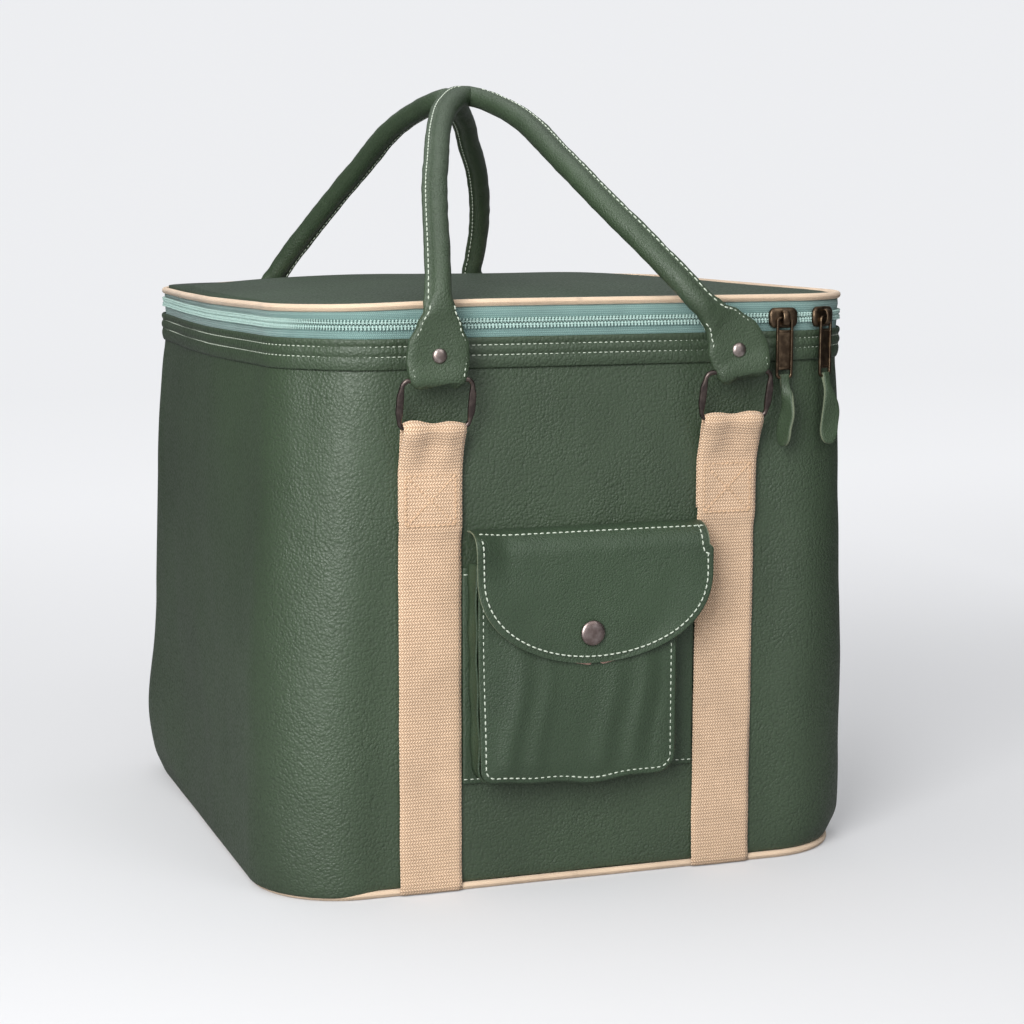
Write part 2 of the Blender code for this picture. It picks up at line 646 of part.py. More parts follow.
tab_bore = WIRE_RADIUS + BAR_CLEARANCE
tab_loop_radius = tab_bore + TAB_LEATHER
TAB_SHAPE = [  # distance above the ring's bar, half width, half thickness, boxiness
    (-tab_loop_radius, 0.0135, 0.0012, 0.35), (-0.0024, 0.0155, 0.0034, 0.35),
    (0.0, 0.0165, tab_loop_radius, 0.35), (0.0045, 0.0176, 0.0033, 0.35),
    (0.0090, 0.0187, TAB_HALF_THICKNESS, 0.35),
    (0.0200, 0.0182, TAB_HALF_THICKNESS, 0.35), (0.0300, 0.0135, TAB_HALF_THICKNESS, 0.45),
    (0.0400, 0.0082, 0.0046, 0.8), (TAB_LENGTH, TUBE_RADIUS, TUBE_RADIUS, 1.0),
]


def handle(name, left_leg, right_leg, top_x, side):
    """The rolled leather cover with a tab at each end, its cord core and its two rivets."""
    fine, length = catmull_rom(handle_route(left_leg, right_leg, top_x, side))
    ends = [row[0] + tab_loop_radius for row in TAB_SHAPE]
    tube_steps = round((length - 2 * ends[-1]) / 0.0145)
    middle = [ends[-1] + (length - 2 * ends[-1]) * k / tube_steps for k in range(1, tube_steps)]
    distances = ends + middle + [length - d for d in reversed(ends)]
    stations = walk(fine, distances)
    sides = carried_frames(stations, Vector((1, 0, 0)), Vector((-1, 0, 0)))
    sections = []
    for (place, direction), across, distance in zip(stations, sides, distances):
        from_bar = min(distance, length - distance) - tab_loop_radius
        half_width, half_thickness, boxy = between(TAB_SHAPE, from_bar)
        depth = direction.cross(across)
        outline = rounded_section(half_width, half_thickness, boxy)
        sections.append([place + across * u + depth * v for u, v in outline])
    cover = loft(name, sections, GREEN, smooth=True)

    # The core lies in the tube. The channel round it is open at the left neck, where the seam starts.
    tab_end = tab_loop_radius + TAB_LENGTH
    spots = [tab_end - 2 * GAP, tab_end + 2 * GAP]
    spots += [tab_end + (length - 2 * tab_end) * k / tube_steps for k in range(1, tube_steps)]
    spots += [length - spot for spot in reversed(spots[:2])]
    rods = walk(fine, spots)
    rod_sides = carried_frames(rods, Vector((1, 0, 0)), Vector((-1, 0, 0)))

    def rod(label, radius, first, last, finish, steps=8):
        rows = []
        for (place, direction), across in list(zip(rods, rod_sides))[first:last]:
            depth = direction.cross(across)
            rows.append([
                place + radius * (across * math.cos(turn) + depth * math.sin(turn))
                for turn in [math.tau * k / steps for k in range(steps)]
            ])
        return loft(name + label, rows, finish, smooth=True)

    channel = rod("_channel", CORE_RADIUS + CORE_FIT, 0, len(rods), CORD)
    boolean(cover, channel, "DIFFERENCE")
    core = rod("_core", CORE_RADIUS, 1, len(rods) - 1, CORD)
    neck, _ = walk(fine, [tab_end + SEAM_MOUTH])[0]
    mouth = [(SEAM_MOUTH / 2, -CORE_RADIUS - CORE_FIT / 2), (SEAM_MOUTH / 2, -2 * TUBE_RADIUS)]
    boolean(cover, turned(name + "_mouth", mouth[::-1], neck, Vector((0, side, 0)), GREEN, 8), "DIFFERENCE")
    pieces = [cover, core]
    for label, sign in (("left", -1), ("right", 1)):
        bar = Vector((sign * STRAP_X, side * upper_bar_out, upper_bar_z))
        sides_of_bore = [(tab_bore * math.cos(math.tau * k / 12), tab_bore * math.sin(math.tau * k / 12))
                         for k in range(12)]
        ends = (-RING_WIDTH / 2, RING_WIDTH / 2)
        rows = [[bar + Vector((x, y, z)) for y, z in sides_of_bore] for x in ends]
        boolean(cover, loft(f"{name}_bore_{label}", rows, GREEN), "DIFFERENCE")
        from_end = tab_loop_radius + RIVET_RISE
        place, direction = walk(fine, [from_end if sign < 0 else length - from_end])[0]
        axis = Vector((0, side, 0))
        half = TAB_HALF_THICKNESS + GAP
        hole = RIVET_SHANK + GAP
        tool = turned(f"{name}_hole_{label}", [(hole, -2 * half), (hole, 2 * half)], place, axis, GREEN, 10)
        boolean(cover, tool, "DIFFERENCE")
        profile = [
            (RIVET_CAP_RADIUS * 0.7, -half - RIVET_CAP * 0.7), (RIVET_CAP_RADIUS * 0.85, -half),
            (RIVET_SHANK, -half), (RIVET_SHANK, half), (RIVET_CAP_RADIUS, half),
            (RIVET_CAP_RADIUS * 0.93, half + RIVET_CAP * 0.6), (RIVET_CAP_RADIUS * 0.5, half + RIVET_CAP),
        ]
        end = name.replace("handle", "rivet")
        pieces.append(turned(f"{end}_{label}", profile, place, axis, SILVER, 14))
    return pieces


LEGS = {
    "front": (-1, FRONT_LEFT_LEG, FRONT_RIGHT_LEG, FRONT_TOP_X),
    "rear": (1, REAR_LEFT_LEG, REAR_RIGHT_LEG, REAR_TOP_X),
}
for end, (side, left_leg, right_leg, top_x) in LEGS.items():
    strap(f"strap_{end}_left", -STRAP_X, side)
    strap(f"strap_{end}_right", STRAP_X, side)
    left_ring, right_ring = (ring(f"ring_{end}_{label}", x, side) for label, x in
                             (("left", -STRAP_X), ("right", STRAP_X)))
    on_left = hung(f"ring_{end}_left_pivot", (-STRAP_X, side * ring_bar_out, BAR_Z), [left_ring])
    hung(f"ring_{end}_right_pivot", (STRAP_X, side * ring_bar_out, BAR_Z), [right_ring])
    pieces = handle(f"handle_{end}", left_leg, right_leg, top_x, side)
    hung(f"handle_{end}_pivot", (0, side * upper_bar_out, upper_bar_z), pieces, on_left)

# ---- pockets on the front ------------------------------------------------------------------------
front_face = DEPTH / 2
slip_out = front_face + GAP
gusset_out = slip_out + SLIP_THICKNESS + GAP
pocket_out = gusset_out + POCKET_DEPTH + GAP
flap_out = pocket_out + POCKET_LEATHER + FLAP_CLEARANCE + FLAP_THICKNESS / 2
hinge_out = front_face + GAP + FLAP_THICKNESS / 2

slip_half_width = STRAP_X - STRAP_WIDTH / 2 - 2 * GAP
slip_outline = [
    (-slip_half_width, SLIP_BOTTOM_Z), (slip_half_width, SLIP_BOTTOM_Z),
    (slip_half_width, SLIP_TOP_Z), (-slip_half_width, SLIP_TOP_Z),
]
extruded("slip_pocket_panel", slip_outline, -slip_out - SLIP_THICKNESS, -slip_out, GREEN)


def pocket_side(inset):
    """The pocket's outline from its top left corner down, across and up, this far inside its edge."""
    radius = POCKET_CORNER - inset
    points = [(POCKET_LEFT_X + inset, POCKET_TOP_Z)]
    for cx, start in ((POCKET_LEFT_X + POCKET_CORNER, 180), (POCKET_RIGHT_X - POCKET_CORNER, 270)):
        for k in range(5):
            angle = math.radians(start + 22.5 * k)
            cz = POCKET_BOTTOM_Z + POCKET_CORNER
            points.append((cx + radius * math.cos(angle), cz + radius * math.sin(angle)))
    points.append((POCKET_RIGHT_X - inset, POCKET_TOP_Z))
    return points


gusset_wall = pocket_side(0) + pocket_side(GUSSET)[::-1]
extruded("pocket_gusset", gusset_wall, -gusset_out - POCKET_DEPTH, -gusset_out, GREEN)
pocket_front = extruded("pocket_front", pocket_side(0), -pocket_out - POCKET_LEATHER, -pocket_out, GREEN)


def flap():
    """The flap: sewn to the body along its top, rolled over the pocket's mouth, round at the bottom."""
    over = flap_out - hinge_out
    lift = FLAP_HINGE_Z
    turn = 0.014  # height of the rolled stretch
    rows = [(hinge_out, lift)]
    rows += [(hinge_out + over * math.sin(a), lift - turn * (1 - math.cos(a)))
             for a in (math.radians(90 * k / 6) for k in range(1, 7))]
    straight = [FLAP_SHOULDER_Z]
    arc = [FLAP_SHOULDER_Z - (FLAP_SHOULDER_Z - FLAP_BOTTOM_Z) * math.sin(math.radians(90 * k / 9)) for k in
           range(1, 10)]
    rows += [(flap_out, z) for z in straight + arc]
    middle, half = (FLAP_LEFT_X + FLAP_RIGHT_X) / 2, (FLAP_RIGHT_X - FLAP_LEFT_X) / 2
    sections = []
    for i, (out, z) in enumerate(rows):
        before, after = rows[max(i - 1, 0)], rows[min(i + 1, len(rows) - 1)]
        along = Vector((after[0] - before[0], after[1] - before[1])).normalized()
        if i == 0:
            along = Vector((1, 0))
        share = max(FLAP_SHOULDER_Z - z, 0) / (FLAP_SHOULDER_Z - FLAP_BOTTOM_Z)
        width = half * max((1 - share**2.2) ** 0.5, 0.12) if share else half
        normal = Vector((-along.y, along.x)) * FLAP_THICKNESS / 2
        row = []
        for sign in (1, -1):
            p = Vector((out, z)) + normal * sign
            across = [middle + k * width * sign for k in (-1, -0.5, 0, 0.5, 1)]
            if z > FLAP_HINGE_Z - turn:  # the rolled stretch swings between the straps
                across = [min(max(x, -slip_half_width), slip_half_width) for x in across]
            row += [Vector((x, -p.x, p.y)) for x in across]
        sections.append(row)
    return loft("pocket_flap", sections, GREEN)


def bored(target, radius, place):
    tool = turned(f"{target.name}_hole", [(radius, -0.006), (radius, 0.006)], place, (0, -1, 0), GREEN, 12)
    boolean(target, tool, "DIFFERENCE")


def snap():
    """A press stud: cap and socket on the flap, stud and post on the pocket's front."""
    cap_low = FLAP_THICKNESS / 2 + GAP
    flap_middle = Vector((SNAP_X, -flap_out, SNAP_Z))
    reach = 2 * GAP + FLAP_THICKNESS / 2
    cap_profile = [
        (SNAP_SHANK, -reach), (SNAP_SHANK, cap_low), (SNAP_CAP_RADIUS, cap_low),
        (SNAP_CAP_RADIUS, cap_low + SNAP_CAP * 0.35), (SNAP_CAP_RADIUS * 0.85, cap_low + SNAP_CAP * 0.8),
        (SNAP_CAP_RADIUS * 0.4, cap_low + SNAP_CAP),
    ]
    front = (0, -1, 0)
    cap = turned("snap_cap", cap_profile, flap_middle, front, SILVER)
    socket_top = -FLAP_THICKNESS / 2 - GAP
    socket_low = -FLAP_THICKNESS / 2 - FLAP_CLEARANCE + 4 * GAP
    socket = washer(
        "snap_socket", SOCKET_RADIUS, SOCKET_BORE, socket_low, socket_top, flap_middle, front, SILVER
    )
    face = Vector((SNAP_X, -pocket_out - POCKET_LEATHER, SNAP_Z))
    stud_profile = [
        (SOCKET_RADIUS * 0.9, GAP), (SOCKET_RADIUS * 0.9, 3 * GAP),
        (STUD_RADIUS, 3 * GAP), (STUD_RADIUS, FLAP_CLEARANCE - 3 * GAP),
    ]
    turned("snap_stud", stud_profile, face, front, SILVER)
    post_profile = [
        (SOCKET_RADIUS * 0.9, -POCKET_LEATHER - 4 * GAP), (SOCKET_RADIUS * 0.9, -POCKET_LEATHER - GAP),
        (SNAP_SHANK, -POCKET_LEATHER - GAP), (SNAP_SHANK, 0.0),
    ]
    turned("snap_post", post_profile, face, front, SILVER)
    bored(pocket_front, SNAP_SHANK + GAP, face)
    return [cap, socket]


flap_piece = flap()
bored(flap_piece, SNAP_SHANK + GAP, Vector((SNAP_X, -flap_out, SNAP_Z)))
hung("pocket_flap_pivot", (0, -hinge_out, FLAP_HINGE_Z), [flap_piece] + snap())

lid_pieces = ["lid_panel", "lid_piping", "lid_foam", "lid_lining", "zip_tape_upper", "zip_teeth_upper"]
hung("lid_pivot", (0, DEPTH / 2, seam_z), [bpy.data.objects[piece] for piece in lid_pieces])
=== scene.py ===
import json
import math

import bmesh
import bpy
from mathutils import Matrix, Quaternion, Vector, noise

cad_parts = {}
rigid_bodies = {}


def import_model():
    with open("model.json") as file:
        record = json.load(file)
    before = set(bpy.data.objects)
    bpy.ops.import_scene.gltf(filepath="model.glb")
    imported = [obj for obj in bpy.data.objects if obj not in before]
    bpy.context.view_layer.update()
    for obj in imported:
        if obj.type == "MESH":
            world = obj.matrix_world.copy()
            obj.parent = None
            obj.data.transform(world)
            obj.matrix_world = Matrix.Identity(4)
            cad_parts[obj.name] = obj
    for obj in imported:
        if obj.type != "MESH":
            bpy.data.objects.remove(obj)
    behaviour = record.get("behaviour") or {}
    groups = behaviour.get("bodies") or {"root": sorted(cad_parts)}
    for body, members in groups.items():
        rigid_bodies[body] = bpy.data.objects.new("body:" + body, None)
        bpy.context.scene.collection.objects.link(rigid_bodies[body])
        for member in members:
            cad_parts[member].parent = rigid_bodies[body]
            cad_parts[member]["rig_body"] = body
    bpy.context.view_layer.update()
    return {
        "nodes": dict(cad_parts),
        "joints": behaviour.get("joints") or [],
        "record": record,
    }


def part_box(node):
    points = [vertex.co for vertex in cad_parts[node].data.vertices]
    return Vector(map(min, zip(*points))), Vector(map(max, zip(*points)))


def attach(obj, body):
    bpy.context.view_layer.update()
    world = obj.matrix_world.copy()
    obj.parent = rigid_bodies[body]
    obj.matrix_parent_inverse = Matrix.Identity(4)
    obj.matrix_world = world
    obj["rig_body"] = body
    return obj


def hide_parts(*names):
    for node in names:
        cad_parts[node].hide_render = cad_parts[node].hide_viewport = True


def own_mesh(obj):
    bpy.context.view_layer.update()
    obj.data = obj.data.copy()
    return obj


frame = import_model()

cad = frame["nodes"]

# ---- Studio --------------------------------------------------------------------------------------
# A pale sweep of paper, a large soft light at the front left, a weaker one at the right, one overhead,
# and a flag on each side that keeps the bag's sides dim. The far paper glows, so that it stays as pale
# as the floor, and the paper throws back less light on the bag than the camera sees of it.
FLOOR_SEEN, WALL_SEEN, PAPER_THROWN = (0.61, 0.61, 0.615, 1), (0.25, 0.25, 0.252, 1), (0.36, 0.36, 0.365, 1)
FLOOR_GLOW, WALL_GLOW, WALL_BEGINS, WALL_ENDS = 0.16, 0.72, -0.5, 1.7
SWEEP_FRONT, SWEEP_BACK, SWEEP_RADIUS, SWEEP_HEIGHT, SWEEP_HALF_WIDTH = -4.0, 3.2, 2.4, 4.5, 7.0


def node(tree, kind, inputs=None, **settings):
    made = tree.nodes.new(kind)
    for name, value in settings.items():
        setattr(made, name, value)
    for key, value in (inputs or {}).items():
        if isinstance(value, bpy.types.NodeSocket):
            tree.links.new(value, made.inputs[key])
        else:
            made.inputs[key].default_value = value
    return made


def math_node(tree, operation, *values):
    return node(tree, "ShaderNodeMath", dict(enumerate(values)), operation=operation).outputs[0]


def plain_material(name, colour, roughness, metallic=0.0):
    made = bpy.data.materials.new(name)
    made.use_nodes = True
    shader = made.node_tree.nodes["Principled BSDF"]
    shader.inputs["Base Color"].default_value = (*colour, 1)
    shader.inputs["Roughness"].default_value = roughness
    shader.inputs["Metallic"].default_value = metallic
    return made


def roughen(finish, grains, strength, depth):
    """Gives a plain finish a fine nap or grit: grains to the metre, and how deep."""
    tree = finish.node_tree
    place = node(tree, "ShaderNodeTexCoord").outputs["Object"]
    nap = node(tree, "ShaderNodeTexNoise", {"Vector": place, "Scale": grains, "Detail": 4.0}).outputs["Fac"]
    bump = node(tree, "ShaderNodeBump", {"Height": nap, "Strength": strength, "Distance": depth})
    tree.links.new(bump.outputs["Normal"], tree.nodes["Principled BSDF"].inputs["Normal"])


def studio_sheet(name, points, faces, finish):
    mesh = bpy.data.meshes.new(name)
    mesh.from_pydata(points, [], faces)
    mesh.shade_smooth()
    mesh.materials.append(finish)
    sheet = bpy.data.objects.new(name, mesh)
    bpy.context.scene.collection.objects.link(sheet)
    return sheet


def studio_sweep():
    paper = plain_material("studio_paper", (0.8, 0.8, 0.8), 0.95)
    tree = paper.node_tree
    shader = tree.nodes["Principled BSDF"]
    seen = node(tree, "ShaderNodeLightPath").outputs["Is Camera Ray"]
    place = node(tree, "ShaderNodeTexCoord").outputs["Object"]
    depth = node(tree, "ShaderNodeSeparateXYZ", {0: place}).outputs["Y"]
    far = node(tree, "ShaderNodeMapRange", {"Value": depth, "From Min": WALL_BEGINS, "From Max": WALL_ENDS},
               interpolation_type="SMOOTHSTEP").outputs[0]
    paper_tone = node(tree, "ShaderNodeMix", {0: far, 6: FLOOR_SEEN, 7: WALL_SEEN},
                      data_type="RGBA").outputs[2]
    tone = node(tree, "ShaderNodeMix", {0: seen, 6: PAPER_THROWN, 7: paper_tone}, data_type="RGBA").outputs[2]
    glow = node(tree, "ShaderNodeMapRange", {"Value": far, "To Min": FLOOR_GLOW,
                                             "To Max": WALL_GLOW}).outputs[0]
    tree.links.new(tone, shader.inputs["Base Color"])
    shader.inputs["Emission Color"].default_value = (0.97, 0.98, 1.0, 1)
    tree.links.new(math_node(tree, "MULTIPLY", seen, glow), shader.inputs["Emission Strength"])
    shader.inputs["Specular IOR Level"].default_value = 0.0
    line = [(SWEEP_FRONT, 0.0)]
    for k in range(17):
        turn = math.radians(90 * k / 16)
        line.append((SWEEP_BACK + SWEEP_RADIUS * math.sin(turn), SWEEP_RADIUS * (1 - math.cos(turn))))
    line.append((SWEEP_BACK + SWEEP_RADIUS, SWEEP_HEIGHT))
    points = [(x, y, z) for y, z in line for x in (-SWEEP_HALF_WIDTH, SWEEP_HALF_WIDTH)]
    studio_sheet("studio_sweep", points, [(2 * i, 2 * i + 1, 2 * i + 3,
                                           2 * i + 2) for i in range(len(line) - 1)],
                 paper)


def softbox(name, place, aim, size, watts):
    lamp = bpy.data.lights.new(name, "AREA")
    lamp.shape, lamp.size, lamp.size_y, lamp.energy = "RECTANGLE", size[0], size[1], watts
    box = bpy.data.objects.new(name, lamp)
    box.location = place
    box.rotation_euler = (Vector(aim) - Vector(place)).to_track_quat("-Z", "Y").to_euler()
    bpy.context.scene.collection.objects.link(box)


studio_sweep()
for name, corners, grey in (("studio_flag_left", ((-1.0, -0.5), (-1.1, 2.0)), 0.02),
                            ("studio_flag_right", ((0.85, -1.3), (0.85, 0.4)), 0.06)):
    (x0, y0), (x1, y1) = corners
    flag = studio_sheet(name, [(x0, y0, 0.0), (x1, y1, 0.0), (x1, y1, 1.3), (x0, y0, 1.3)], [(0, 1, 2, 3)],
                        plain_material(name + "_cloth", (grey, grey, grey), 1.0))
    flag.visible_camera = False  # it shades the bag and stays out of the picture
softbox("window_right", (0.95, -1.9, 1.9), (0.0, 0.0, 0.2), (1.2, 1.5), 9)
softbox("front_left", (-1.20, -1.50, 1.00), (-0.1, 0.0, 0.2), (0.9, 1.5), 41)
softbox("overhead", (-0.2, 0.3, 2.6), (0.0, 0.0, 0.2), (2.2, 1.6), 16)
world = bpy.data.worlds.new("studio_surround")
world.use_nodes = True
world.node_tree.nodes["Background"].inputs["Color"].default_value = (0.95, 0.96, 1.0, 1)
world.node_tree.nodes["Background"].inputs["Strength"].default_value = 0.66
bpy.context.scene.world = world
bpy.context.scene.view_settings.view_transform = "Standard"

lens = bpy.data.cameras.new("camera")
lens.sensor_width, lens.lens, lens.shift_x, lens.shift_y = 36, 78.4, 0.0319, 0.0368
camera = bpy.data.objects.new("camera", lens)
camera.location = (-0.4724, -1.3971, 0.4078)
camera.rotation_euler = (Vector((0, 0, 0.173)) - camera.location).to_track_quat("-Z", "Y").to_euler()
bpy.context.scene.collection.objects.link(camera)
bpy.context.scene.camera = camera

# ---- Body leather --------------------------------------------------------------------------------
# The wall of the bag: one band of soft pebbled cowhide over foam, drawn in under the zip and at the
# left corners, full lower down, sewn into the base seam and rolled over its piping at the left end. It
# lies flat only where the straps and the pocket are sewn to it.
shell_low, shell_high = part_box("outer_shell")
hem_low, hem_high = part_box("hem_band")
ZIP_LINE = (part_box("zip_teeth_lower")[1].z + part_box("zip_teeth_upper")[0].z) / 2
HALF_WIDTH, HALF_DEPTH, CORNER = shell_high.x, shell_high.y, 0.055
FRONT_RUN, SIDE_RUN, TURN_RUN = HALF_WIDTH - CORNER, HALF_DEPTH - CORNER, CORNER * math.pi / 2
ROUND = 4 * (FRONT_RUN + SIDE_RUN + TURN_RUN)


OUTLINE = []  # runs and turns, to the right from the middle of the front: (kind, x, y, heading, length)
for run, x, y, turns in ((FRONT_RUN, 0.0, -HALF_DEPTH, 0), (2 * SIDE_RUN, HALF_WIDTH, -SIDE_RUN, 1),
                         (2 * FRONT_RUN, FRONT_RUN, HALF_DEPTH, 2), (2 * SIDE_RUN, -HALF_WIDTH, SIDE_RUN, 3),
                         (FRONT_RUN, -FRONT_RUN, -HALF_DEPTH, 4)):
    heading = turns * math.pi / 2
    OUTLINE.append(("run", x, y, heading, run))
    if turns < 4:
        end_x, end_y = x + math.cos(heading) * run, y + math.sin(heading) * run
        centre_x, centre_y = end_x - CORNER * math.sin(heading), end_y + CORNER * math.cos(heading)
        OUTLINE.append(("turn", centre_x, centre_y, heading, TURN_RUN))


def on_plan(along):
    """Foot and outward direction on the bag's outline, this far to the right of the middle of the front."""
    along %= ROUND
    for kind, x, y, heading, length in OUTLINE:
        if along <= length + 1e-9:
            break
        along -= length
    if kind == "run":
        ahead_x, ahead_y = math.cos(heading), math.sin(heading)
        return x + ahead_x * along, y + ahead_y * along, ahead_y, -ahead_x
    facing = heading - math.pi / 2 + along / CORNER
    return x + CORNER * math.cos(facing), y + CORNER * math.sin(facing), math.cos(facing), math.sin(facing)


# For each left corner: its middle, the way to the bag's end, depth, lowest height, rise to full depth.
ROUNDED_IN = (
    (ROUND - FRONT_RUN - TURN_RUN / 2, 1, 0.0140, 0.06, 0.28),
    (ROUND / 2 + FRONT_RUN + TURN_RUN / 2, -1, 0.0050, 0.22, 0.13),
)
ROUNDED_OVER_END, ROUNDED_OVER_FACE, LID_SUNK = 0.150, 0.058, 0.0045


def drawn_in(along, z):
    """How far the soft left corners are drawn in towards the zip, which bows the bag's left end."""
    total = 0.0
    for middle, forward, depth, lowest, rise in ROUNDED_IN:
        away = (along % ROUND - middle) * forward
        reach = ROUNDED_OVER_FACE if away > 0 else ROUNDED_OVER_END
        total += depth * max(0.0, 1 - (away / reach) ** 2) ** 2 * ease((z - lowest) / rise)
    return total


def sunk(along, z):
    """How far the lid's left end has sunk on to the zip, most of all at its rear corner."""
    x, y, nx, ny = on_plan(along)
    over_zip = ease((z - ZIP_LINE - 0.003) / 0.006)
    return LID_SUNK * ease((-x - 0.05) / 0.13) * (0.8 + 0.2 * y / HALF_DEPTH) * over_zip


def off_wall(along, out, z):
    """The point this far round the bag, out from its leather and up."""
    x, y, nx, ny = on_plan(along)
    out -= drawn_in(along, z)
    z -= sunk(along, z)
    return Vector((x + nx * out, y + ny * out, z))


def effect(name, inputs, outputs, build):
    """A node group: build(tree, its inputs) returns one socket for each output, in order."""
    tree = bpy.data.node_groups.new(name, "ShaderNodeTree")
    for label, kind in inputs:
        tree.interface.new_socket(label, in_out="INPUT", socket_type=kind)
    for label, kind in outputs:
        tree.interface.new_socket(label, in_out="OUTPUT", socket_type=kind)
    entry = tree.nodes.new("NodeGroupInput")
    leave = tree.nodes.new("NodeGroupOutput")
    for socket, result in zip(leave.inputs, build(tree, entry.outputs)):
        tree.links.new(result, socket)
    return tree


FLOAT, COLOUR = "NodeSocketFloat", "NodeSocketColor"


def build_grain(tree, given):
    """Cowhide pebble: rounded cells of two sizes with painted shade darkening the valleys, and slow changes
    of tone.
    """
    place = node(tree, "ShaderNodeTexCoord").outputs["Object"]
    drift = node(tree, "ShaderNodeTexNoise", {"Vector": place, "Scale": 130.0,
                                              "Detail": 2.0}).outputs["Color"]
    stray = node(tree, "ShaderNodeVectorMath", {0: drift, 1: (0.5, 0.5, 0.5)},
                 operation="SUBTRACT").outputs[0]
    push = node(tree, "ShaderNodeVectorMath", {0: stray, "Scale": 0.0022}, operation="SCALE").outputs[0]
    bent = node(tree, "ShaderNodeVectorMath", {0: place, 1: push}, operation="ADD").outputs[0]
    cells = node(tree, "ShaderNodeTexVoronoi", {"Vector": bent, "Scale": given["Cells per metre"],
                                                "Smoothness": 0.5},
                 feature="SMOOTH_F1").outputs["Distance"]
    finer = math_node(tree, "MULTIPLY", given["Cells per metre"], 2.3)
    small = node(tree, "ShaderNodeTexVoronoi", {"Vector": bent, "Scale": finer}).outputs["Distance"]
    patch = node(tree, "ShaderNodeTexNoise", {"Vector": place, "Scale": 26.0, "Detail": 3.0}).outputs["Fac"]
    depth = node(tree, "ShaderNodeMapRange", {"Value": patch, "From Min": 0.3, "From Max": 0.7,
                                             "To Min": 0.55, "To Max": 1.15}).outputs[0]
    pebble = math_node(tree, "SUBTRACT", 1.0, math_node(tree, "POWER", cells, 1.6))
    pitted = math_node(tree, "ADD", pebble, math_node(tree, "MULTIPLY", small, -0.28))
    height = math_node(tree, "MULTIPLY", pitted, depth)
    tone = node(tree, "ShaderNodeTexNoise", {"Vector": place, "Scale": 9.0, "Detail": 4.0}).outputs["Fac"]
    shade = node(tree, "ShaderNodeMapRange", {"Value": tone, "From Min": 0.3, "From Max": 0.7,
                                             "To Min": 0.86, "To Max": 1.14}).outputs[0]
    # painted shade: the colour darkens towards the cell edges, in the grain's valleys
    painted_valley_shade = node(tree, "ShaderNodeMapRange", {"Value": cells, "From Min": 0.35, "From Max": 0.8,
                                              "To Min": 1.03, "To Max": 0.86}).outputs[0]
    scale = math_node(tree, "MULTIPLY", shade, painted_valley_shade)
    colour = node(tree, "ShaderNodeVectorMath", {0: given["Colour"], "Scale": scale},
                  operation="SCALE").outputs[0]
    rough = node(tree, "ShaderNodeMapRange", {"Value": cells, "From Min": 0.2, "From Max": 0.8,
                                             "To Min": 0.40, "To Max": 0.62}).outputs[0]
    return colour, rough, height


GRAIN = effect("leather_grain", [("Colour", COLOUR), ("Cells per metre", FLOAT)],
               [("Colour", COLOUR), ("Roughness", FLOAT), ("Height", FLOAT)], build_grain)


def leather(name, colour, cells=620.0, relief=0.00060):
    made = bpy.data.materials.new(name)
    made.use_nodes = True
    tree = made.node_tree
    shader = tree.nodes["Principled BSDF"]
    grain = node(tree, "ShaderNodeGroup", node_tree=GRAIN)
    grain.inputs["Colour"].default_value = (*colour, 1)
    grain.inputs["Cells per metre"].default_value = cells
    bump = node(tree, "ShaderNodeBump", {"Height": grain.outputs["Height"], "Strength": 0.85,
                                         "Distance": relief})
    tree.links.new(grain.outputs["Colour"], shader.inputs["Base Color"])
    tree.links.new(grain.outputs["Roughness"], shader.inputs["Roughness"])
    tree.links.new(bump.outputs["Normal"], shader.inputs["Normal"])
    shader.inputs["Specular IOR Level"].default_value = 0.55
    return made


GREEN = (0.044, 0.069, 0.038)
body_leather = leather("body_leather", GREEN)


def piece(name, points, faces, finish, body, slot, *nodes, smooth=True):
    """A mesh that rides on a body, takes the given finish and stands for CAD nodes; slot is not used."""
    mesh = bpy.data.meshes.new(name)
    mesh.from_pydata([tuple(p) for p in points], [], faces)
    work = bmesh.new()
    work.from_mesh(mesh)
    bmesh.ops.recalc_face_normals(work, faces=work.faces)
    work.to_mesh(mesh)
    work.free()
    for one in finish if isinstance(finish, (list, tuple)) else [finish]:
        mesh.materials.append(one)
    if smooth:
        mesh.shade_smooth()
    made = bpy.data.objects.new(name, mesh)
    bpy.context.scene.collection.objects.link(made)
    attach(made, body)
    if nodes:
        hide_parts(*nodes)
    return made


def net(rows, columns, row_loop=False, column_loop=False, start=0):
    """Faces of a net of points in rows, joined round where a loop is asked for."""
    faces = []
    for i in range(rows if row_loop else rows - 1):
        for k in range(columns if column_loop else columns - 1):
            a, b = i % rows * columns, (i + 1) % rows * columns
            m, n = k, (k + 1) % columns
            faces.append((start + a + m, start + a + n, start + b + n, start + b + m))
    return faces


def ease(t):
    t = min(max(t, 0.0), 1.0)
    return t * t * (3 - 2 * t)


def soften(made, levels=1):
    change = made.modifiers.new("soften", "SUBSURF")
    change.levels = change.render_levels = levels
    return made


SEWN_HALF_WIDTH = 0.118  # the stretch behind the straps and the pocket, which stays flat
HEM_PINCH, BELLY, BASE_ROLL = 0.0010, 0.0034, 0.0034
ROLL_FOOT = 0.0012  # lowest edge of the leather where it rolls over the base piping
base_seam_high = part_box("bottom_piping")[1]


def sewn_flat(along):
    """1 where the straps and the pocket hold the leather flat, 0 where it is free."""
    x, y, nx, ny = on_plan(along)
    return ease((SEWN_HALF_WIDTH + 0.035 - abs(x)) / 0.035) if abs(ny) > 0.9 else 0.0


def rolled_over(along):
    """1 where the leather rolls down over the base piping, 0 where the piping shows."""
    x, y, nx, ny = on_plan(along)
    shows = ease((-ny - 0.1) / 0.4) if x > 0 else 0.0
    return (1 - sewn_flat(along)) * (1 - shows)


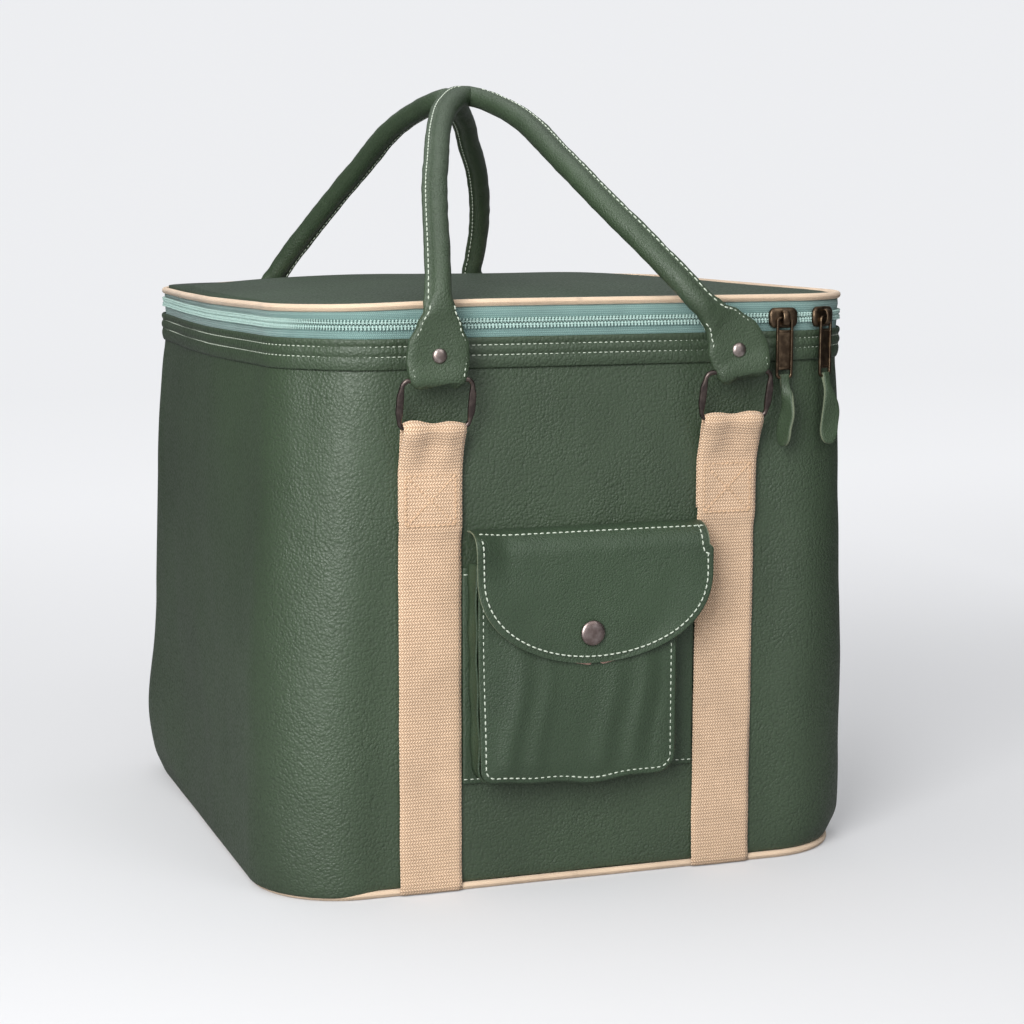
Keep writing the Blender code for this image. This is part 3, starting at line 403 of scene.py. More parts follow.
def slack(along, z):
    """How far the soft wall stands out from its sewn size."""
    x, y, nx, ny = on_plan(along)
    flat, rolled = sewn_flat(along), rolled_over(along)
    up = (z - shell_low.z) / (shell_high.z - shell_low.z)
    belly = BELLY * math.sin(math.pi * min(max(up, 0.0), 1.0)) ** 0.8 * (1.25 - 0.7 * up)
    if nx < -0.3 and y > 0:  # the rear left corner leans out low down
        lean_out = 0.0022 * math.sin(math.pi * min(max(up, 0.0), 1.0))
        lean_out += 0.0080 * math.exp(-((up - 0.15) / 0.15) ** 2)
        belly += lean_out * ease((y - 0.02) / 0.12)
    wide = noise.noise(Vector((along * 9.0, z * 6.0, 3.1))) * 0.0022
    folds = noise.noise(Vector((along * 24.0, z * 17.0 + along * 6.0, 8.7))) * 0.0011
    crease = noise.noise(Vector((along * 60.0 + z * 20.0, z * 38.0, 5.2))) * 0.00035
    if nx > 0:  # the right side stands out evenly low down
        belly += 0.0060 * nx * max(0.0, 1 - up)
    under_hem = -HEM_PINCH * math.exp(-((hem_low.z - z - 0.004) / 0.006) ** 2)
    soft = (belly + wide + folds * (1.4 - up) + crease) * (1 - flat)
    calm = ease((z - shell_low.z + 0.006) / 0.02) * ease((shell_high.z - z) / 0.03)
    low = min(1.0, max(0.0, 0.010 - z) / 0.0098)
    base = BASE_ROLL * rolled * math.sqrt(1 - low * low) * math.exp(-(max(0.0, z - 0.010) / 0.05) ** 2)
    turned_in = base - 0.0008 * (1 - rolled) * max(0.0, 1 - (z - shell_low.z) / 0.006) ** 2
    flat_limit = min(0.0, crease + folds * 0.5 - 0.0004) * flat
    return soft * calm + under_hem * (1 - 0.6 * flat) + turned_in + flat_limit


def body_wall():
    rounds, rows = 280, 64
    points = []
    for i in range(rounds):
        along = ROUND * i / rounds
        foot = ROLL_FOOT + (base_seam_high.z - 0.0006 - ROLL_FOOT) * (1 - rolled_over(along))
        shares = [k / (rows - 1) for k in range(rows)]
        heights = [foot + (shell_high.z - foot) * (0.6 * t * t + 0.4 * t) for t in shares]
        points += [off_wall(along, slack(along, z), z) for z in heights]
        points += [off_wall(along, -0.0018, heights[-1]), off_wall(along, -0.0060, heights[0] + 0.0004)]
    columns = rows + 2
    return piece("body_wall", points, net(rounds, columns, True, True), body_leather, "root", "green_leather",
                 "outer_shell")


soften(body_wall())

# ---- Leather hem ---------------------------------------------------------------------------------
# The top edge of the body leather, folded over the zip tape and held by two rows of stitching that pull
# it down into two shallow channels, with a padded roll between them and a narrow lip above.
HEM_ROWS = (hem_high.z - 0.0105, hem_high.z - 0.0047)  # heights of the two rows of stitching
HEM_STITCH = 0.0034


def hem_profile(pucker):
    """(out, z) points of the folded edge; pucker swells the roll between two stitches."""
    low_row, high_row = HEM_ROWS
    roll = 0.0019 + pucker
    return [
        (-0.0006, hem_low.z - 0.004), (0.0006, hem_low.z - 0.002), (0.0013, hem_low.z + 0.0008),
        (0.0015, low_row - 0.0016), (0.0006, low_row), (0.0015, low_row + 0.0011),
        (roll, (low_row + high_row) / 2), (0.0015, high_row - 0.0011), (0.0006, high_row),
        (0.0015, high_row + 0.0011), (roll, hem_high.z - 0.0018), (0.0014, hem_high.z - 0.0003),
        (0.0004, hem_high.z), (-0.0004, hem_high.z - 0.0010), (-0.0006, high_row), (-0.0006, low_row),
    ]


def leather_hem():
    rounds = round(ROUND / HEM_STITCH) * 2
    points = []
    for i in range(rounds):
        along = ROUND * i / rounds
        pucker = 0.00022 if i % 2 else -0.00012
        sway = noise.noise(Vector((along * 14, 2.2, 0))) * 0.0005
        points += [off_wall(along, out + sway, z) for out, z in hem_profile(pucker)]
    columns = len(hem_profile(0))
    return piece("leather_hem", points, net(rounds, columns, True, True), body_leather, "root",
                 "green_leather", "hem_band")


soften(leather_hem())

# ---- Stitching -----------------------------------------------------------------------------------
# Pale green bonded thread. Each stitch is a short twisted run that dives into the leather at both ends;
# a row is one mesh, and it rides on the piece that it is sewn through.
THREAD = 0.00042  # radius
thread_finish = plain_material("pale_green_thread", (0.56, 0.62, 0.52), 0.6)


def speckle(finish, dark, bright, grains):
    """Gives a plain finish a fine mix of two colours; returns the mask."""
    tree = finish.node_tree
    place = node(tree, "ShaderNodeTexCoord").outputs["Object"]
    mask = node(tree, "ShaderNodeTexNoise", {"Vector": place, "Scale": grains, "Detail": 2.0}).outputs["Fac"]
    tint = node(tree, "ShaderNodeMix", {0: mask, 6: (*dark, 1), 7: (*bright, 1)}, data_type="RGBA")
    tree.links.new(tint.outputs[2], tree.nodes["Principled BSDF"].inputs["Base Color"])
    return mask


def twist_thread(finish):
    """The thread's fuzz, in its colour and in its surface."""
    tree = finish.node_tree
    fuzz = speckle(finish, (0.38, 0.45, 0.35), (0.74, 0.79, 0.68), 2600.0)
    bump = node(tree, "ShaderNodeBump", {"Height": fuzz, "Strength": 0.5, "Distance": 0.0002})
    tree.links.new(bump.outputs["Normal"], tree.nodes["Principled BSDF"].inputs["Normal"])


twist_thread(thread_finish)


def stitches(name, route, pitch, body, slot="green_leather", closed=False, radius=THREAD, fill=0.72,
             finish=None):
    """A row of stitches on a route of (point, outward direction) pairs, evenly spaced."""
    spots = [(Vector(p), Vector(n).normalized()) for p, n in route]
    if closed:
        spots.append(spots[0])
    marks = [0.0]
    for (a, _), (b, _) in zip(spots, spots[1:]):
        marks.append(marks[-1] + (b - a).length)
    count = max(1, round(marks[-1] / pitch))
    step = marks[-1] / count
    points, faces, k = [], [], 0
    shape = ((0.0, -1.1, 0.55), (0.14, 0.1, 0.9), (0.5, 0.42, 1.0), (0.86, 0.1, 0.9), (1.0, -1.1, 0.55))
    for i in range(count):
        start, length = i * step + step * (1 - fill) / 2, step * fill
        for share, lift, swell in shape:
            at = start + length * share
            while k < len(marks) - 2 and marks[k + 1] < at:
                k += 1
            while k > 0 and marks[k] > at:
                k -= 1
            t = (at - marks[k]) / max(marks[k + 1] - marks[k], 1e-9)
            (a, na), (b, nb) = spots[k], spots[k + 1]
            up, ahead = na.lerp(nb, t).normalized(), (b - a).normalized()
            side = ahead.cross(up).normalized()
            middle = a.lerp(b, t) + up * lift * radius
            for turn in range(6):
                angle = math.tau * turn / 6
                spoke = side * math.cos(angle) * 1.15 + up * math.sin(angle)
                points.append(middle + radius * swell * spoke)
        first = i * 30
        faces += net(5, 6, False, True, first)
        faces += [tuple(range(first, first + 6)), tuple(range(first + 24, first + 30))]
    return piece(name, points, faces, finish or thread_finish, body, slot)


def round_route(out, z, steps=420):
    return [(off_wall(ROUND * i / steps, out, z), (*on_plan(ROUND * i / steps)[2:], 0)) for i in range(steps)]


for label, height in zip(("hem_stitching_low", "hem_stitching_high"), HEM_ROWS):
    stitches(label, round_route(0.0007, height), HEM_STITCH, "root", closed=True, radius=0.00030)

# ---- Zip -----------------------------------------------------------------------------------------
# Teal nylon coil zip on herringbone tape, round the left, the front and the right. Each row is a coil of
# close loops with a chain of thread over it; the two rows meet at the zip line.
tape_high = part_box("zip_tape_upper")[1]
ZIP_END = ROUND / 2 - FRONT_RUN  # distance round from the middle of the front to the zip's rear end
TOOTH_PITCH, TOOTH_REACH, TOOTH_OUT = 0.0021, 0.0031, 0.0004
# The darker teal is painted shade in the grooves of the tape's weave.
TEAL_LIGHT, TEAL_GROOVE_SHADE = (0.29, 0.45, 0.41), (0.12, 0.22, 0.21)


def build_weave(tree, given):
    """Slanted threads in rows that lean alternately, as in herringbone tape and webbing, with painted shade
    in the grooves between threads.
    """
    lay = node(tree, "ShaderNodeAttribute", attribute_name="lay")
    split = node(tree, "ShaderNodeSeparateXYZ", {0: lay.outputs["Vector"]})
    u = math_node(tree, "DIVIDE", split.outputs["X"], given["Thread"])
    v = math_node(tree, "DIVIDE", split.outputs["Y"], given["Row"])
    row = math_node(tree, "FLOOR", v)
    within = math_node(tree, "FRACT", v)
    lean = math_node(tree, "SUBTRACT", math_node(tree, "MULTIPLY", math_node(tree, "MODULO", row, 2.0),
                                                 2.0), 1.0)
    slant = math_node(tree, "MULTIPLY", math_node(tree, "MULTIPLY", within, lean), given["Slant"])
    across = math_node(tree, "FRACT", math_node(tree, "ADD", math_node(tree, "ADD", u, slant), 100.0))
    thread = math_node(tree, "SINE", math_node(tree, "MULTIPLY", across, math.pi))
    ridge = math_node(tree, "SINE", math_node(tree, "MULTIPLY", within, math.pi))
    ridge = math_node(tree, "POWER", ridge, 0.6)
    height = math_node(tree, "MULTIPLY", thread, ridge)
    place = node(tree, "ShaderNodeTexCoord").outputs["Object"]
    slow = node(tree, "ShaderNodeTexNoise", {"Vector": place, "Scale": 40.0, "Detail": 3.0}).outputs["Fac"]
    fuzz = node(tree, "ShaderNodeTexNoise", {"Vector": place, "Scale": 1900.0, "Detail": 2.0}).outputs["Fac"]
    mix = math_node(tree, "MULTIPLY", height, math_node(tree, "ADD",
                                                        math_node(tree, "MULTIPLY", fuzz, 0.5), 0.75))
    # painted shade: low parts of the weave, between the threads, take the shade colour
    colour = node(tree, "ShaderNodeMix", {0: mix, 6: given["Shade"], 7: given["Thread colour"]},
                  data_type="RGBA", clamp_factor=True).outputs[2]
    tone = node(tree, "ShaderNodeMapRange", {"Value": slow, "From Min": 0.3, "From Max": 0.7,
                                            "To Min": 0.92, "To Max": 1.08}).outputs[0]
    colour = node(tree, "ShaderNodeVectorMath", {0: colour, "Scale": tone}, operation="SCALE").outputs[0]
    return colour, math_node(tree, "ADD", height, math_node(tree, "MULTIPLY", fuzz, 0.25))


WEAVE = effect("weave", [("Thread colour", COLOUR), ("Shade", COLOUR), ("Thread", FLOAT), ("Row", FLOAT),
                         ("Slant", FLOAT)], [("Colour", COLOUR), ("Height", FLOAT)], build_weave)


def woven(name, bright, shade, thread, row, slant=0.8, relief=0.00035, roughness=0.82):
    made = bpy.data.materials.new(name)
    made.use_nodes = True
    tree = made.node_tree
    shader = tree.nodes["Principled BSDF"]
    weave = node(tree, "ShaderNodeGroup", node_tree=WEAVE)
    for label, value in (("Thread colour", (*bright, 1)), ("Shade", (*shade, 1)), ("Thread", thread),
                         ("Row", row), ("Slant", slant)):
        weave.inputs[label].default_value = value
    bump = node(tree, "ShaderNodeBump", {"Height": weave.outputs["Height"], "Strength": 0.8,
                                         "Distance": relief})
    tree.links.new(weave.outputs["Colour"], shader.inputs["Base Color"])
    tree.links.new(bump.outputs["Normal"], shader.inputs["Normal"])
    shader.inputs["Roughness"].default_value = roughness
    shader.inputs["Sheen Weight"].default_value = 0.25
    shader.inputs["Specular IOR Level"].default_value = 0.3
    return made


def lay_threads(made, values):
    """Stores where each point lies along and across the cloth, in metres, for the weave to follow."""
    made.data.attributes.new("lay", "FLOAT_VECTOR", "POINT").data.foreach_set(
        "vector", [number for value in values for number in (value[0], value[1], 0.0)])


tape_cloth = woven("teal_tape_weave", TEAL_LIGHT, TEAL_GROOVE_SHADE, 0.0011, 0.0013)


def tape(name, profile, body, cad_node):
    rounds = 330
    points, lay = [], []
    for i in range(rounds):
        along = -ZIP_END + 2 * ZIP_END * i / (rounds - 1)
        for k, (out, z) in enumerate(profile):
            points.append(off_wall(along, out, z))
            lay.append((along, z))
    columns = len(profile)
    faces = net(rounds, columns, False, True)
    faces += [tuple(range(columns)), tuple(range(len(points) - columns, len(points)))]
    made = piece(name, points, faces, tape_cloth, body, "teal_tape", cad_node)
    lay_threads(made, lay)
    return made


lower_profile = [(-0.0007, hem_low.z + 0.006), (-0.0007, hem_high.z), (-0.0004, ZIP_LINE - 0.0042),
                 (-0.0007, ZIP_LINE - 0.0002), (-0.0016, ZIP_LINE - 0.0002), (-0.0016, hem_low.z + 0.006)]
upper_profile = [(-0.0007, ZIP_LINE + 0.0002), (-0.0002, ZIP_LINE + 0.0042), (0.0002, tape_high.z - 0.003),
                 (-0.0002, tape_high.z + 0.0008), (-0.0016, tape_high.z + 0.0005),
                 (-0.0016, ZIP_LINE + 0.0002)]
tape("lower_tape", lower_profile, "root", "zip_tape_lower")
tape("upper_tape", upper_profile, "lid", "zip_tape_upper")

coil_finish = plain_material("nylon_coil", TEAL_LIGHT, 0.42)
speckle(coil_finish, (0.26, 0.42, 0.38), (0.56, 0.72, 0.66), 700.0)


def coil(name, side, body, cad_node):
    """One row: rounded upright loops a pitch apart, and two chains of small beads of thread across them."""
    points, faces = [], []
    count = int(2 * ZIP_END / TOOTH_PITCH)

    def blob(along, out, z, half_along, half_out, half_z, lean=0.0):
        first = len(points)
        rows = ((-1.0, 0.25), (-0.62, 0.8), (0.0, 1.0), (0.62, 0.8), (1.0, 0.25))
        for height, swell in rows:
            for k in range(6):
                angle = math.tau * k / 6
                points.append(off_wall(along + half_along * swell * math.cos(angle) + lean * height * half_z,
                                       out + half_out * swell * math.sin(angle), z + height * half_z))
        faces.extend(net(5, 6, False, True, first))
        faces.extend([tuple(range(first, first + 6)), tuple(range(first + 24, first + 30))])

    for i in range(count):
        along = -ZIP_END + TOOTH_PITCH * (i + 0.5 + 0.25 * side)
        blob(along, TOOTH_OUT, ZIP_LINE + side * TOOTH_REACH * 0.47, 0.00075, 0.00105, TOOTH_REACH * 0.52)
        blob(along, TOOTH_OUT + 0.0009, ZIP_LINE + side * TOOTH_REACH * 0.80, 0.00062, 0.00050, 0.00048, 0.5)
        blob(along + TOOTH_PITCH / 2, TOOTH_OUT + 0.0008, ZIP_LINE + side * TOOTH_REACH * 0.36, 0.00055,
             0.00045, 0.00042,
             -0.5)
    return piece(name, points, faces, coil_finish, body, "teal_teeth", cad_node)


coil("lower_coil", -1, "root", "zip_teeth_lower")
coil("upper_coil", 1, "lid", "zip_teeth_upper")

# ---- Piping --------------------------------------------------------------------------------------
# Cord in a beige cotton bias strip, sewn into the lid's seam and into the base seam. The strip's weave
# crosses it on the slant.
BEIGE, BEIGE_SHADE = (0.92, 0.73, 0.54), (0.62, 0.44, 0.29)
piping_cloth = woven("beige_piping_cloth", BEIGE, BEIGE_SHADE, 0.00085, 0.00095, 1.0, 0.00018, 0.7)


def piping(name, cad_node, body):
    low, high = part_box(cad_node)
    radius = (high.z - low.z) / 2
    centre = high.x - HALF_WIDTH - radius
    rounds, turns = 420, 12
    points, lay = [], []
    for i in range(rounds):
        along = ROUND * i / rounds
        wander = noise.noise(Vector((along * 20, low.z * 50, 0))) * 0.0004
        for k in range(turns):
            angle = math.tau * k / turns
            points.append(off_wall(along, centre + wander + radius * math.cos(angle),
                                   (low.z + high.z) / 2 + radius * math.sin(angle)))
            lay.append((along, radius * angle))
    made = piece(name, points, net(rounds, turns, True, True), piping_cloth, body, "beige_piping", cad_node)
    lay_threads(made, lay)


piping("lid_edge_piping", "lid_piping", "lid")
piping("base_seam_piping", "bottom_piping", "root")

# ---- Lid -----------------------------------------------------------------------------------------
# One cut of the same hide over foam, slightly crowned, sewn to the piping all round; the leather dips
# into the seam.
lid_low, lid_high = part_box("lid_panel")
LID_INSET, LID_EDGE_Z = HALF_WIDTH - lid_high.x, lid_low.z + 0.0018
lid_leather = leather("lid_leather", (0.033, 0.058, 0.030), 700.0)


def lid_top():
    rounds = 200
    shares = [1.0, 0.992, 0.975, 0.95, 0.91, 0.86, 0.79, 0.7, 0.6, 0.48, 0.35, 0.2, 0.08]
    rise = lid_high.z - LID_EDGE_Z
    points = []
    for share in shares:
        crown = rise * (1 - share ** 2.6) ** 0.9
        dip = -0.0012 * math.exp(-((1 - share) / 0.008) ** 2)
        for i in range(rounds):
            foot = off_wall(ROUND * i / rounds, -LID_INSET, LID_EDGE_Z)
            x, y = foot.x * share, foot.y * share
            wave = noise.noise(Vector((x * 11, y * 11, 1.7))) * 0.0013 * (1 - share ** 6)
            points.append((x, y, LID_EDGE_Z + crown + dip + wave + (foot.z - LID_EDGE_Z) * share ** 2))
    top = len(points)
    faces = net(len(shares), rounds, False, True)
    faces.append(tuple(range(top - rounds, top)))
    under = [(x, y, lid_low.z) for x, y, z in points[:rounds]]
    faces += [(i, top + i, top + (i + 1) % rounds, (i + 1) % rounds) for i in range(rounds)]
    faces.append(tuple(range(top, top + rounds)))
    return piece("lid_top", points + under, faces, lid_leather, "lid", "green_leather", "lid_panel")


lid_top()

# ---- Webbing straps ------------------------------------------------------------------------------
# Four 38 mm cotton straps sewn up the front and rear. Each folds over its ring's lower bar and comes
# back down behind itself, held by a box of stitching with a cross in it.
STRAP_HALF, STRAP_X, WEBBING_THICKNESS = 0.019, 0.093, 0.0014
BOX_LOW, BOX_HIGH, BOX_HALF = 0.2200, 0.2490, 0.0150
pivots = {joint["name"]: Vector(joint["pos_m"]) for joint in frame["joints"] if "pos_m" in joint}
WEB, WEB_SHADE = (0.94, 0.69, 0.48), (0.46, 0.29, 0.17)
webbing_cloth = woven("cotton_webbing", WEB, WEB_SHADE, 0.0017, 0.0019, 0.9, 0.0006, 0.85)
web_thread = plain_material("webbing_thread", (0.62, 0.43, 0.27), 0.7)


def smooth_line(points, pieces=8):
    """A fine polyline on a smooth curve through the points."""
    points = [Vector(p) for p in points]
    ends = [2 * points[0] - points[1]] + points + [2 * points[-1] - points[-2]]
    fine = []
    for a, b, c, d in zip(ends, ends[1:], ends[2:], ends[3:]):
        for k in range(pieces):
            t = k / pieces
            fine.append(0.5 * (2 * b + (c - a) * t + (2 * a - 5 * b + 4 * c - d) * t**2
                               + (3 * b - a - 3 * c + d) * t**3))
    return fine + [points[-1]]


def walk(fine, distances):
    """Points and directions on a polyline at these distances from its start."""
    found, run, i = [], 0.0, 0
    for distance in distances:
        while i < len(fine) - 2 and run + (fine[i + 1] - fine[i]).length < distance:
            run += (fine[i + 1] - fine[i]).length
            i += 1
        step = fine[i + 1] - fine[i]
        found.append((fine[i] + step.normalized() * (distance - run), step.normalized()))
    return found


def length_of(fine):
    return sum((b - a).length for a, b in zip(fine, fine[1:]))


def webbing_strap(end, label, x, side):
    bar = pivots[f"ring_{end}_{label}_hinge"]
    bar_out, face = abs(bar.y), HALF_DEPTH + 0.0011
    out_line = [(face + 0.0006, 0.0008), (face + 0.0010, 0.006), (face + 0.0003, 0.016), (face, 0.05),
                (face, 0.10), (face, 0.16), (face, 0.205), (face + 0.0003, 0.2115),
                (face + 0.0017, 0.2172), (face + 0.0021, 0.224), (face + 0.0021, 0.245),
                (face + 0.0027, 0.2525), (face + 0.0050, 0.2600), (bar_out - 0.0008, 0.2680),
                (bar_out + 0.0024, 0.2735), (bar_out + 0.0031, bar.z), (bar_out + 0.0021, bar.z + 0.0023),
                (bar_out, bar.z + 0.0031), (bar_out - 0.0021, bar.z + 0.0023), (bar_out - 0.0031, bar.z),
                (face + 0.0030, 0.2640), (face + 0.0004, 0.2530), (face, 0.2480), (face, 0.2230)]
    fine = smooth_line([(out, z, 0) for out, z in out_line])
    length = length_of(fine)
    steps, across = round(length / 0.0032), 15
    points, lay = [], []
    for i, (place, ahead) in enumerate(walk(fine, [length * k / steps for k in range(steps + 1)])):
        outward = Vector((ahead.y, -ahead.x, 0))
        free = ease((place.y - 0.250) / 0.014)
        for sign in (1, -1):
            for k in range(across):
                u = -1 + 2 * k / (across - 1)
                u *= sign
                edge = math.sqrt(max(0.0, 1 - u ** 10))
                bulk = WEBBING_THICKNESS / 2 * (0.25 + 0.75 * edge)
                wave = noise.noise(Vector((x * 7 + u * 1.1, place.y * 26, side * 3.0)))
                wave *= 0.0004 + 0.0014 * free
                if free:
                    wave += 0.0007 * free * math.cos(u * 5.5 + x * 31)
                stray = noise.noise(Vector((x + sign, place.y * 45, 9.0 + side))) * 0.0003
                spot = place + outward * (bulk * sign + wave)
                points.append((x + u * (STRAP_HALF + stray), side * spot.x, spot.y))
                lay.append((u * STRAP_HALF, length * i / steps))
    columns = 2 * across
    faces = net(steps + 1, columns, False, True)
    faces += [tuple(range(columns)), tuple(range(len(points) - columns, len(points)))]
    made = piece(f"webbing_strap_{end}_{label}", points, faces, webbing_cloth, "root", "natural_webbing",
                 f"strap_{end}_{label}")
    lay_threads(made, lay)
    front = face + 0.0021 + WEBBING_THICKNESS / 2 + 0.0001

    def box_spot(u, v):
        return (x + u * BOX_HALF, side * front, BOX_LOW + v * (BOX_HIGH - BOX_LOW)), (0, side, 0)

    for tag, line in (("box", ((-1, 0), (-1, 1), (1, 1), (1, 0), (-1, 0))), ("cross", ((-1, 0), (1, 1))),
                      ("cross_back", ((1, 0), (-1, 1)))):
        route = []
        for (u0, v0), (u1, v1) in zip(line, line[1:]):
            for k in range(9):
                u, v = u0 + (u1 - u0) * k / 9, v0 + (v1 - v0) * k / 9
                route.append(box_spot(u, v))
        route.append(box_spot(*line[-1]))
        stitches(f"strap_{tag}_stitching_{end}_{label}", route, 0.0030, "root", "natural_webbing",
                 radius=0.00042, finish=web_thread)


SIDES = {"front": -1, "rear": 1}
for end, side in SIDES.items():
    webbing_strap(end, "left", -STRAP_X, side)
    webbing_strap(end, "right", STRAP_X, side)

# ---- Rings ---------------------------------------------------------------------------------------
# Dark bronze rectangular rings, cast, with wide flat sides. Each swings on its lower bar in the
# webbing's fold, and its upper bar runs through the handle's tab.
RING_HALF, RING_RISE, RING_LEAN, RING_BEND = 0.021, 0.029, math.radians(15), 0.0045


def patchy_metal(name, dark, bright, roughness):
    """Plated metal with the plate rubbed brighter in patches."""
    made = plain_material(name, dark, roughness, 1.0)
    tree = made.node_tree
    place = node(tree, "ShaderNodeTexCoord").outputs["Object"]
    rub = node(tree, "ShaderNodeTexNoise", {"Vector": place, "Scale": 260.0, "Detail": 5.0}).outputs["Fac"]
    share = node(tree, "ShaderNodeMapRange", {"Value": rub, "From Min": 0.42, "From Max": 0.68}).outputs[0]
    tone = node(tree, "ShaderNodeMix", {0: share, 6: (*dark, 1), 7: (*bright, 1)},
                data_type="RGBA").outputs[2]
    rough = node(tree, "ShaderNodeMapRange", {"Value": rub, "To Min": roughness + 0.12,
                                              "To Max": roughness - 0.1})
    bump = node(tree, "ShaderNodeBump", {"Height": rub, "Strength": 0.25, "Distance": 0.0002})
    shader = tree.nodes["Principled BSDF"]
    tree.links.new(tone, shader.inputs["Base Color"])
    tree.links.new(rough.outputs[0], shader.inputs["Roughness"])
    tree.links.new(bump.outputs[0], shader.inputs["Normal"])
    return made


bronze = patchy_metal("dark_bronze", (0.095, 0.075, 0.070), (0.17, 0.135, 0.12), 0.40)


def strap_ring(end, label, x, side):
    bar = pivots[f"ring_{end}_{label}_hinge"]
    lean = Vector((0, side * math.sin(RING_LEAN), math.cos(RING_LEAN)))
    out = Vector((0, side * math.cos(RING_LEAN), -math.sin(RING_LEAN)))
    spots = []  # (across, up, spoke angle, share up the side)
    half, bend = RING_HALF - RING_BEND, RING_BEND
    top = RING_RISE - bend
    for turn, (cx, cz) in enumerate(((half, top), (-half, top), (-half, bend), (half, bend))):
        spots += [(cx, cz, math.radians(90 * turn + 18 * k), 0.0) for k in range(6)]
        if turn in (1, 3):
            low, high = (top, bend) if turn == 1 else (bend, top)
            for k in range(1, 10):
                t = k / 10
                leaf = ease(min(t, 1 - t) / 0.25)
                spots.append((cx, low + (high - low) * t, math.radians(180 if turn == 1 else 360), leaf))
    points = []
    for cx, cz, angle, leaf in spots:
        spoke = Vector((math.cos(angle), 0, 0)) + lean * math.sin(angle)
        middle = Vector((x + cx, bar.y, bar.z)) + lean * cz + spoke * (bend + 0.0004 * leaf)
        for k in range(12):
            turn = math.tau * k / 12
            boxy = 1 - 0.45 * leaf
            c, s = math.cos(turn), math.sin(turn)
            points.append(middle + spoke * (math.copysign(abs(c) ** boxy, c) * (0.0015 + 0.0008 * leaf))
                          + out * (math.copysign(abs(s) ** boxy, s) * (0.0015 - 0.0001 * leaf)))
    made = piece(f"ring_body_{end}_{label}", points, net(len(spots), 12, True, True), bronze,
                 f"ring_{end}_{label}", "dark_bronze", f"ring_{end}_{label}")
    soften(made)


for end, side in SIDES.items():
    strap_ring(end, "left", -STRAP_X, side)
    strap_ring(end, "right", STRAP_X, side)

# ---- Handles -------------------------------------------------------------------------------------
# Hide rolled round a cord and closed with a sewn flange along the outside of the arch, ending in flat
# tabs that fold round the rings and are held by rivets. Each is sewn before it is filled, so the hide
# wrinkles across the bends.
TUBE, FLANGE, TAB, TAB_LOOP = 0.0064, 0.0030, 0.048, 0.0040
HANDLE_RISE, HANDLE_MEET, RIVET_RISE = 0.165, 0.0165, 0.0135
LEGS = {  # from the ring up: (towards the middle of the bag, share of the run, share of the rise)
    "front_left": [(0.0000, 0.000, 0.040), (0.0005, 0.000, 0.100), (0.0015, 0.000, 0.212),
                   (0.0022, 0.011, 0.276), (0.0065, 0.088, 0.394), (0.0180, 0.313, 0.618),
                   (0.0280, 0.466, 0.733), (0.0416, 0.665, 0.858), (0.0580, 0.850, 0.950)],
    "front_right": [(-0.0010, 0.000, 0.040), (0.0025, 0.000, 0.090), (0.0110, 0.000, 0.165),
                    (0.0262, 0.000, 0.245), (0.0365, 0.033, 0.322), (0.0530, 0.147, 0.463),
                    (0.0675, 0.295, 0.603), (0.0790, 0.500, 0.755), (0.0880, 0.770, 0.912)],
    "rear_left": [(0.0000, 0.000, 0.040), (0.0002, 0.000, 0.100), (0.0012, 0.000, 0.224),
                  (0.0086, 0.045, 0.333), (0.0280, 0.216, 0.542), (0.0450, 0.460, 0.745),
                  (0.0563, 0.715, 0.902)],
    "rear_right": [(0.0002, 0.000, 0.040), (0.0030, 0.000, 0.090), (0.0150, 0.000, 0.175),
                   (0.0290, 0.000, 0.264), (0.0305, 0.053, 0.356), (0.0332, 0.145, 0.472),
                   (0.0412, 0.283, 0.606), (0.0537, 0.445, 0.735), (0.0686, 0.600, 0.837),
                   (0.0865, 0.800, 0.940)],
}
TOP_X = {"front": -0.012, "rear": -0.018}
TAB_ROWS = [  # distance above the ring's bar, half width, half thickness, boxiness
    (-TAB_LOOP, 0.0130, 0.0014, 0.45), (-0.0024, 0.0158, 0.0032, 0.35), (0.0, 0.0168, TAB_LOOP, 0.35),
    (0.0045, 0.0178, 0.0033, 0.32), (0.0090, 0.0188, 0.0022, 0.28), (0.0200, 0.0182, 0.0022, 0.28),
    (0.0300, 0.0137, 0.0024, 0.38), (0.0400, 0.0088, 0.0044, 0.75), (TAB, TUBE, TUBE, 1.0),
]
handle_leather = leather("handle_leather", (0.045, 0.072, 0.038), 900.0, 0.00045)
silver = patchy_metal("antique_silver", (0.27, 0.215, 0.195), (0.52, 0.45, 0.42), 0.34)


def tab_row(s):
    if s >= TAB:
        return TAB_ROWS[-1][1:]
    for low, high in zip(TAB_ROWS, TAB_ROWS[1:]):
        if s <= high[0]:
            t = ease((s - low[0]) / (high[0] - low[0]))
            return tuple(a + (b - a) * t for a, b in zip(low[1:], high[1:]))


def turned_piece(name, profile, place, axis, finish, body, slot, *nodes, steps=32):
    """(radius, height) pairs turned round an axis."""
    turn = Vector((0, 0, 1)).rotation_difference(Vector(axis))
    points = []
    for radius, height in profile:
        for k in range(steps):
            angle = math.tau * k / steps
            spoke = Vector((radius * math.cos(angle), radius * math.sin(angle), height))
            points.append(Vector(place) + turn @ spoke)
    faces = net(len(profile), steps, False, True)
    faces += [tuple(range(steps)), tuple(range(len(points) - steps, len(points)))]
    return piece(name, points, faces, finish, body, slot, *nodes)


